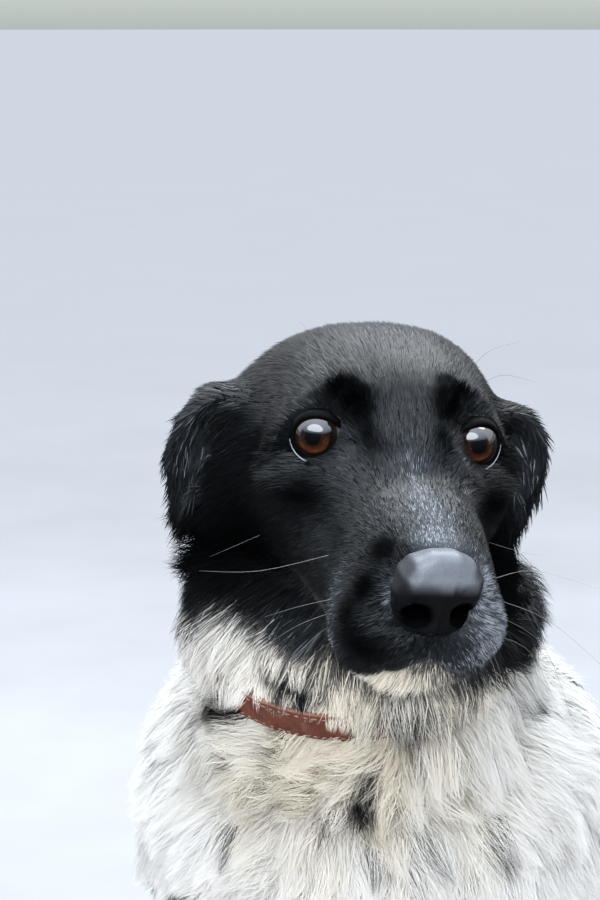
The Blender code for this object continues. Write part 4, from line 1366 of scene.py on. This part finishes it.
# In the head's frame: root, a place halfway, tip, radius, how pale
WHISKERS = {
    "right, long": ((-34, -45, -40), (-61, -38, -51), (-85, -29, -55), 0.11, 0.6),
    "right, second": ((-36, -66, -52), (-48, -61, -58), (-61, -56, -65), 0.11, 0.5),
    "right, third": ((-36, -62, -60), (-46, -58, -67), (-57, -54, -77), 0.11, 0.5),
    "right, fourth": ((-34, -60, -66), (-40, -57, -74), (-47, -54, -86), 0.1, 0.3),
    "right, low": ((-30, -80, -62), (-42, -76, -72), (-50, -68, -88), 0.1, 0.2),
    "right brow": ((-30, 0, 24), (-36, 9, 37), (-43, 17, 45), 0.1, 0.0),
    "right brow, second": ((-26, -4, 25), (-29, 5, 38), (-32, 12, 45), 0.09, 0.0),
    "left brow": ((27, -2, 24), (38, 4, 38), (54, 6, 44), 0.1, 0.1),
    "left brow, second": ((31, 0, 21), (46, 3, 29), (62, 3, 27), 0.1, 0.1),
    "left, top": ((30, -70, -40), (49, -69, -36), (76, -72, -42), 0.12, 0.5),
    "left, second": ((31, -74, -48), (55, -77, -55), (80, -83, -73), 0.12, 0.4),
    "left, third": ((31, -78, -54), (53, -82, -65), (68, -90, -97), 0.12, 0.2),
    "left, fourth": ((30, -80, -60), (48, -82, -68), (60, -86, -89), 0.11, 0.3),
    "left, low": ((26, -86, -66), (32, -86, -75), (35, -85, -87), 0.1, 0.7),
    "left, low, second": ((30, -76, -68), (37, -76, -78), (40, -76, -90), 0.1, 0.4),
    "left cheek": ((50, 10, -50), (68, 9, -54), (80, 10, -56), 0.1, 0.4),
    "right cheek": ((-50, 10, -50), (-64, 8, -56), (-74, 10, -62), 0.1, 0.4),
    "chin, long": ((4, -88, -84), (10, -87, -92), (19, -92, -117), 0.12, 1.0),
    "chin, second": ((-4, -80, -88), (-7, -78, -97), (-9, -76, -109), 0.1, 1.0),
    "chin, third": ((12, -86, -84), (17, -86, -94), (20, -85, -105), 0.1, 0.8),
    "throat": ((2, -40, -96), (3, -44, -108), (6, -50, -116), 0.1, 0.8),
}
WHISKER_RINGS = 13
UNDER_SKIN = 2  # where a whisker starts


def build_whiskers(skin):
    """Whiskers on the lips, over the eyes, on the cheeks and under the chin."""
    corners = triangles_of(skin.data)
    skin_tree = BVHTree.FromPolygons([Vector(p) for p in points_of(skin.data)], corners.tolist())
    bm = bmesh.new()
    pale_at = []
    for root, halfway, tip, radius, pale in WHISKERS.values():
        start, bend, end = (HEAD @ (Vector(place) * MM) for place in (root, halfway, tip))
        found = skin_tree.find_nearest(start)[0]
        inside = found - (bend - found).normalized() * UNDER_SKIN * MM
        path = curve_through((inside, found, bend, end), WHISKER_RINGS)
        shares = [k / (WHISKER_RINGS - 1) for k in range(WHISKER_RINGS)]
        radii = [radius * MM * (1 - 0.8 * share**1.3) for share in shares]
        pale_at += [pale] * len(tube(bm, path, radii, sides=4))
    bm.verts.index_update()
    piece = as_piece("whiskers", bm, WHISKER)
    mark(piece.data, pale=pale_at)
    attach(piece, "root")


# ---------------------------------------------------------------- collar and claws

STRAP_ROUNDING = 1.1


def build_collar():
    """The strap: a rounded section spun round the neck and drawn to its oval."""
    bm = bmesh.new()
    middle_line = COLLAR_HALF_AXES[0] + COLLAR_THICKNESS / 2
    section = Matrix.Translation((middle_line, 0, 0)) @ Matrix.Rotation(math.pi / 2, 4, "X")
    bmesh.ops.create_grid(bm, x_segments=1, y_segments=5, size=0.5, matrix=section)
    for vertex in bm.verts:
        out = middle_line + (vertex.co.x - middle_line) * COLLAR_THICKNESS
        vertex.co = Vector((out, 0, vertex.co.z * COLLAR_WIDTH))
    corners = [v for v in bm.verts if abs(abs(v.co.z) - COLLAR_WIDTH / 2) < 0.01]
    bmesh.ops.bevel(
        bm, geom=corners, offset=STRAP_ROUNDING, segments=3, profile=0.5, affect="VERTICES", material=-1
    )
    inner = [edge for edge in bm.edges if not edge.is_boundary]
    bmesh.ops.delete(bm, geom=bm.faces[:], context="FACES_ONLY")
    bmesh.ops.delete(bm, geom=inner, context="EDGES")
    spin_round(bm, 2 * math.pi, 144, merge=1e-3)
    bmesh.ops.recalc_face_normals(bm, faces=bm.faces)
    edge = [min(1.0, abs(v.co.z) / (COLLAR_WIDTH / 2)) ** 6 for v in bm.verts]
    for vertex in bm.verts:
        vertex.co.y *= COLLAR_HALF_AXES[1] / COLLAR_HALF_AXES[0]
        vertex.co *= MM
    bmesh.ops.transform(bm, matrix=COLLAR, verts=bm.verts)
    strap = as_piece("collar_strap", bm, STRAP)
    mark(strap.data, edge=edge)
    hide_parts("collar")
    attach(strap, "root")


STITCHES = 110  # in a row
ROW_HEIGHT = 5.4  # of the rows over and under the strap's middle
STITCH_HALVES = (0.32, 1.35, 0.42)  # half its depth, length and height


def build_stitches():
    """Two rows of short stitches along the strap's edges."""
    bm = bmesh.new()
    wide, deep = (half_axis + COLLAR_THICKNESS + 0.05 for half_axis in COLLAR_HALF_AXES)
    size = Matrix.Diagonal((*(half * MM for half in STITCH_HALVES), 1))
    for height in (-ROW_HEIGHT, ROW_HEIGHT):
        for k in range(STITCHES):
            angle = 2 * math.pi * (k + 0.5) / STITCHES
            rim = Vector((math.cos(angle) * wide, math.sin(angle) * deep, height))
            place = Matrix.Translation(rim * MM) @ Matrix.Rotation(angle, 4, "Z")
            bmesh.ops.create_icosphere(bm, subdivisions=1, radius=1, matrix=COLLAR @ place @ size)
    stitches = as_piece("collar_stitches", bm, THREAD)
    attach(stitches, "root")


BUCKLE_TALL, BUCKLE_WIDE, BUCKLE_BAR = 21, 23, 1.6  # the bar by its radius
BUCKLE_GAP, MIDDLE_BAR = 0.4, 1.3
PRONG = ((0, 0.2, 0.4), (-4, 1.3, 0.2), (-8, 1.6, 0))  # from the middle bar outwards
PRONG_RADII = (1.2, 1.2, 1.15, 1.1, 1.1, 1.0, 1.0, 0.9, 0.7)


def build_buckle():
    """A rounded frame with a middle bar and a prong, flat on the strap at the back of the neck."""
    out = COLLAR_HALF_AXES[1] + COLLAR_THICKNESS + BUCKLE_GAP + BUCKLE_BAR
    place = COLLAR @ Matrix.Translation((0, out * MM, 0))
    bm = bmesh.new()
    x, z = BUCKLE_WIDE / 2 - BUCKLE_BAR, BUCKLE_TALL / 2 - BUCKLE_BAR
    rim = [Vector(corner) for corner in ((-x, 0, -z), (x, 0, -z), (x, 0, z), (-x, 0, z))]
    path = []
    for corner, after in zip(rim, rim[1:] + rim[:1]):
        path += [corner + (after - corner) * share for share in (0.12, 0.5, 0.88)]
    frame_line = curve_through(path + path[:1], 49)
    frame_line[-1] = frame_line[0].copy()
    tube(bm, [point * MM for point in frame_line], [BUCKLE_BAR * MM] * len(frame_line), 10)
    tube(bm, [Vector((0, 0, height)) * MM for height in (-z, 0, z)], [MIDDLE_BAR * MM] * 3, 10)
    prong = curve_through([*PRONG, (-x - 0.6, 1.0, 0)], len(PRONG_RADII))
    tube(bm, [point * MM for point in prong], [radius * MM for radius in PRONG_RADII], 8)
    bmesh.ops.remove_doubles(bm, verts=bm.verts, dist=1e-6)
    bmesh.ops.recalc_face_normals(bm, faces=bm.faces)
    bmesh.ops.transform(bm, matrix=place, verts=bm.verts)
    buckle = as_piece("buckle", bm, BRASS)
    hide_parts("collar_buckle")
    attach(buckle, "root")


CLAW_SWELL = 0.25


def build_claws():
    """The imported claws, rounded, in one piece."""
    bm = bmesh.new()
    nodes = [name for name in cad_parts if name.startswith("claw_")]
    for node in nodes:
        node_copy(bm, node, CLAW_SWELL)
    claws = as_piece("claws", bm, CLAW_HORN)
    modifier = claws.modifiers.new("rounding", "SUBSURF")
    modifier.levels = modifier.render_levels = 2
    applied(claws)
    clad(claws.data, CLAW_HORN)
    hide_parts(*nodes)
    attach(claws, "root")


# ---------------------------------------------------------------- stage

# Height above the horizon, as a sine, and colour
SKY_BEHIND = (
    (-0.03, (0.05, 0.05, 0.05)),
    (-0.02, (0.40, 0.45, 0.43)),
    (0.0, (0.56, 0.61, 0.58)),
    (0.03, (0.30, 0.31, 0.32)),
    (0.08, (0.20, 0.21, 0.22)),
    (0.20, (0.95, 0.98, 1.04)),
    (1.0, (1.70, 1.76, 1.84)),
)
SKY_AHEAD = (
    (-0.03, (0.03, 0.03, 0.03)),
    (0.30, (0.03, 0.03, 0.035)),
    (0.46, (0.60, 0.76, 1.00)),
    (0.62, (0.95, 1.10, 1.30)),
    (1.0, (1.52, 1.74, 2.04)),
)
FLOOR_RADIUS = 62  # metres


def build_floor():
    bm = bmesh.new()
    bmesh.ops.create_circle(bm, segments=128, radius=FLOOR_RADIUS, cap_ends=True)
    floor = as_piece("floor", bm, FLOOR, smooth=False)
    floor.visible_glossy = False


def build_sky():
    """A soft sky, bright overhead and dark low down, with a pale band at the horizon behind the dog."""
    world = bpy.data.worlds.new("soft_sky")
    bpy.context.scene.world = world
    world.use_nodes = True
    tree = world.node_tree
    background = tree.nodes["Background"]
    place = tree.nodes.new("ShaderNodeTexCoord")
    parts = tree.nodes.new("ShaderNodeSeparateXYZ")
    height = tree.nodes.new("ShaderNodeMapRange")
    behind = tree.nodes.new("ShaderNodeMapRange")
    mixed = tree.nodes.new("ShaderNodeMix")
    mixed.data_type = "RGBA"
    tree.links.new(place.outputs["Generated"], parts.inputs[0])
    tree.links.new(parts.outputs["Z"], height.inputs["Value"])
    tree.links.new(parts.outputs["Y"], behind.inputs["Value"])
    height.inputs["From Min"].default_value = -1.0
    behind.inputs["From Min"].default_value = -0.1
    behind.inputs["From Max"].default_value = 0.1
    tree.links.new(behind.outputs[0], mixed.inputs[0])
    for socket, table in ((6, SKY_AHEAD), (7, SKY_BEHIND)):
        ramp = tree.nodes.new("ShaderNodeValToRGB")
        tree.links.new(height.outputs[0], ramp.inputs[0])
        while len(ramp.color_ramp.elements) < len(table):
            ramp.color_ramp.elements.new(0.5)
        for element, (at, colour) in zip(ramp.color_ramp.elements, table):
            element.position = (at + 1) / 2
            element.color = (*colour, 1)
        tree.links.new(ramp.outputs[0], mixed.inputs[socket])
    tree.links.new(mixed.outputs[2], background.inputs["Color"])
    background.inputs["Strength"].default_value = 1.0


COOL = (0.91, 0.96, 1.0)


def add_light(name, place, aim, size, power, colour=(1, 1, 1)):
    """An oval area light at the place, turned to the aim: metres and watts."""
    data = bpy.data.lights.new(name, "AREA")
    data.shape = "ELLIPSE"
    data.size, data.size_y = size
    data.energy = power
    data.color = colour
    light = bpy.data.objects.new(name, data)
    bpy.context.scene.collection.objects.link(light)
    light.location = place
    light.rotation_euler = (Vector(aim) - Vector(place)).to_track_quat("-Z", "Y").to_euler()
    light.visible_camera = False
    return light


VIEW_TURN, VIEW_DOWN = 9, 12  # degrees
HEAD_FROM_CAMERA = (0.0405, 0.9267, 0.0061)  # metres to its right, ahead and up


def add_camera():
    data = bpy.data.cameras.new("camera")
    data.lens = 85
    data.sensor_width = 36
    data.clip_end = 200
    camera = bpy.data.objects.new("camera", data)
    bpy.context.scene.collection.objects.link(camera)
    turn = Matrix.Rotation(math.radians(VIEW_TURN), 4, "Z")
    tip = Matrix.Rotation(math.radians(90 - VIEW_DOWN), 4, "X")
    level = Matrix.Rotation(math.radians(-VIEW_DOWN), 4, "X")
    place = HEAD.translation - turn @ level @ Vector(HEAD_FROM_CAMERA)
    camera.matrix_world = Matrix.Translation(place) @ (turn @ tip)
    bpy.context.scene.camera = camera
    return camera


# ---------------------------------------------------------------- where each coat grows

SHORT = dict(
    width=0.28, rings=2, scatter=0.065, lock_size=4, lock_pull=0.3, droop=1.0, roll=0.35, soften=0.15
)
MIDDLING = dict(
    width=0.5, rings=3, scatter=0.12, lock_size=7, lock_pull=0.45, droop=1.2, roll=0.4, soften=0.25
)
LONG = dict(
    width=0.42, rings=3, scatter=0.18, lock_size=7, lock_pull=0.6, droop=1.15, roll=0.5, soften=0.6,
    curl=0.3, sway=0.35, mark_at=0.3,
)
WOOL = dict(
    width=0.36, rings=2, scatter=0.16, lock_size=8, lock_pull=0.66, droop=0.9, roll=0.6, soften=0.75,
    curl=0.4, sway=0.6, mark_at=0.5,
)
BODY = dict(
    width=1.0, rings=3, scatter=0.15, lock_size=12, lock_pull=0.6, droop=1.3, roll=0.5, soften=0.5,
    sway=0.25,
)
LID_RIM_SHARE = 1.35  # the lid_share up to which no hair grows
UNDER_NOSE = ((0, -104, -36), (15, 14, 17))  # in the head's frame, with no hair either
FRINGE = ((-79, -118, 624), (18, 26, 18))  # the ruff beside the dog's right cheek, in its frame
MUZZLE_END, FACE_END = -36, 8  # how far back, in the head's frame
FACE_OVERLAP, CROWN_OVERLAP = 6, 4


def in_lid_openings(centres):
    """Which of the points are within the lids' openings or on their rims."""
    found = np.zeros(len(centres), bool)
    for side in (1, -1):
        inside = in_frame(centres, eye_frame(side))
        out = np.linalg.norm(inside, axis=1)
        share = opening_share(inside / out[:, None])
        found |= (out < 16) & (inside[:, 2] > 0) & (share < LID_RIM_SHARE)
    return found


def grow_coats(skin):
    """Ten coats of tufts, each over its own part of the skin."""
    points, corners = points_of(skin.data), triangles_of(skin.data)
    surface = {"points": points, "normals": point_normals(points, corners), "corners": corners}
    centres = points[corners].mean(1)
    head, dog = in_frame(centres, HEAD), in_frame(centres, DOG)
    node_of = coat_regions(skin)[corners[:, 0]]
    _, hair_length, _ = lie_of_hair(centres)

    def over(*names):
        return np.isin(node_of, [node for node in FLESH if node.startswith(names)])

    bare = in_lid_openings(centres) | (hill(head, *UNDER_NOSE) > 0.42)
    on_head = over("head", "lower_jaw") & ~bare
    # The coats of the head meet along ragged lines and overlap there
    back = head[:, 1] + 9 * ripple(head, 9, 51) + 5 * ripple(head, 3, 52)
    muzzle = on_head & (back < MUZZLE_END)
    face = on_head & (back > MUZZLE_END - FACE_OVERLAP) & (back < FACE_END)
    crown = on_head & (back >= FACE_END - CROWN_OVERLAP)
    above_collar = in_frame(centres, COLLAR)[:, 2]
    ruff = over("neck") & (above_collar > COLLAR_WIDTH / 2 + 2)
    front = over("trunk") & (dog[:, 1] < -40) & (dog[:, 2] > 400)
    chest = (over("neck") | front) & (above_collar < 1 - COLLAR_WIDTH / 2)
    body = over("trunk") & ~chest & ~ruff
    foreleg = over("upper_arm", "forearm", "front_paw")
    hind_leg = over("thigh", "shank", "hind_foot")

    # The lines that the coats are unrolled round
    head_axis = (HEAD @ Vector((0, -0.11, -0.04)), HEAD @ Vector((0, 0.12, -0.03)))
    up_axis = (Vector((0, 0, 0)), Vector((0, 0, 1)))
    body_axis = (DOG @ Vector((0, -0.1, 0.6)), DOG @ Vector((0, 0.3, 0.0)))
    tail_axis = (DOG @ Vector((0.1, 0.2, 0)), DOG @ Vector((0.1, 0.2, 1)))

    # Where, how many hairs, axis, whether left and right are unrolled apart, shape, and how much
    # the hairs crowd where they are short
    coats = {
        "muzzle_coat": (muzzle, 60000, head_axis, False, SHORT, 0.4),
        "face_coat": (face, 66000, head_axis, False, dict(SHORT, width=0.33, lock_size=6), 0.8),
        "crown_coat": (
            crown, 62000, head_axis, False, dict(SHORT, width=0.37, lock_size=6, scatter=0.075), 1.0
        ),
        "ear_coat": (
            over("ear"), 22000, up_axis, True, dict(MIDDLING, width=0.6, lock_pull=0.3, droop=1.5), 0.3
        ),
        "ruff_coat": (ruff, 33000, up_axis, False, LONG, 0.0),
        "chest_coat": (chest, 65000, up_axis, False, WOOL, 0.0),
        "body_coat": (body, 30000, body_axis, False, dict(BODY, width=1.3), 0.3),
        "foreleg_coat": (foreleg, 22000, up_axis, True, dict(MIDDLING, width=1.0), 0.8),
        "hind_leg_coat": (hind_leg, 25000, up_axis, True, dict(BODY, width=1.2), 0.6),
        "tail_coat": (over("tail"), 12000, tail_axis, False, BODY, 0.0),
    }
    for name, (chosen, count, axis, two_sided, shape, crowding) in coats.items():
        weights = (10 / hair_length[chosen]) ** crowding
        # The chest is thickest in front, and the ruff over the strap
        if name == "chest_coat":
            weights = weights * np.where(dog[chosen][:, 1] < -60, 2.0, 0.5)
        if name == "ruff_coat":
            near_strap = np.exp(-((above_collar[chosen] / 26) ** 2)) * (dog[chosen][:, 1] < -80)
            weights = weights * (1 + 2.5 * near_strap) * (1 + 4 * hill(dog[chosen], *FRINGE))
        coat_piece(name, HAIR, surface, chosen, weights, count, axis, two_sided, shape)


# ---------------------------------------------------------------- the dog, and what it is seen in

bpy.context.scene.view_settings.view_transform = "Standard"
CAMERA = add_camera()
HAIR = hair_finish()
SKIN = skin_finish()
EYE = eye_finish()
EYELID = lid_finish()
TEAR = tear_finish()
NOSE_LEATHER = nose_finish()
CLAW_HORN = claw_finish()
WHISKER = whisker_finish()
STRAP = strap_finish()
THREAD = thread_finish()
BRASS = brass_finish()
FLOOR = floor_finish()

skin = build_skin()
grow_coats(skin)
for side, label in ((1, "left"), (-1, "right")):
    build_eye(side, label, CAMERA.matrix_world.translation)
    ring_on_eye("lids_" + label, side, EYELID, profile=0.95, lift=0.4)
    lower_lid = (math.pi * 1.06, math.pi * 1.99)
    ring_on_eye("wet_edge_" + label, side, TEAR, profile=0.34, lift=1.9, inset=0.3, part=lower_lid)
build_nose()
build_whiskers(skin)
build_collar()
build_stitches()
build_buckle()
build_claws()
build_floor()
build_sky()
add_light("window", (-0.25, -1.6, 2.2), (0, -0.25, 0.70), (3.0, 1.5), 32, COOL)
add_light("top", (0.1, 0.7, 2.2), (0, -0.2, 0.65), (2.2, 1.2), 34, COOL)
fill = add_light("fill", (0.1, -3.6, 1.2), (0, -0.1, 0.55), (3.0, 2.0), 84)
fill.visible_glossy = False
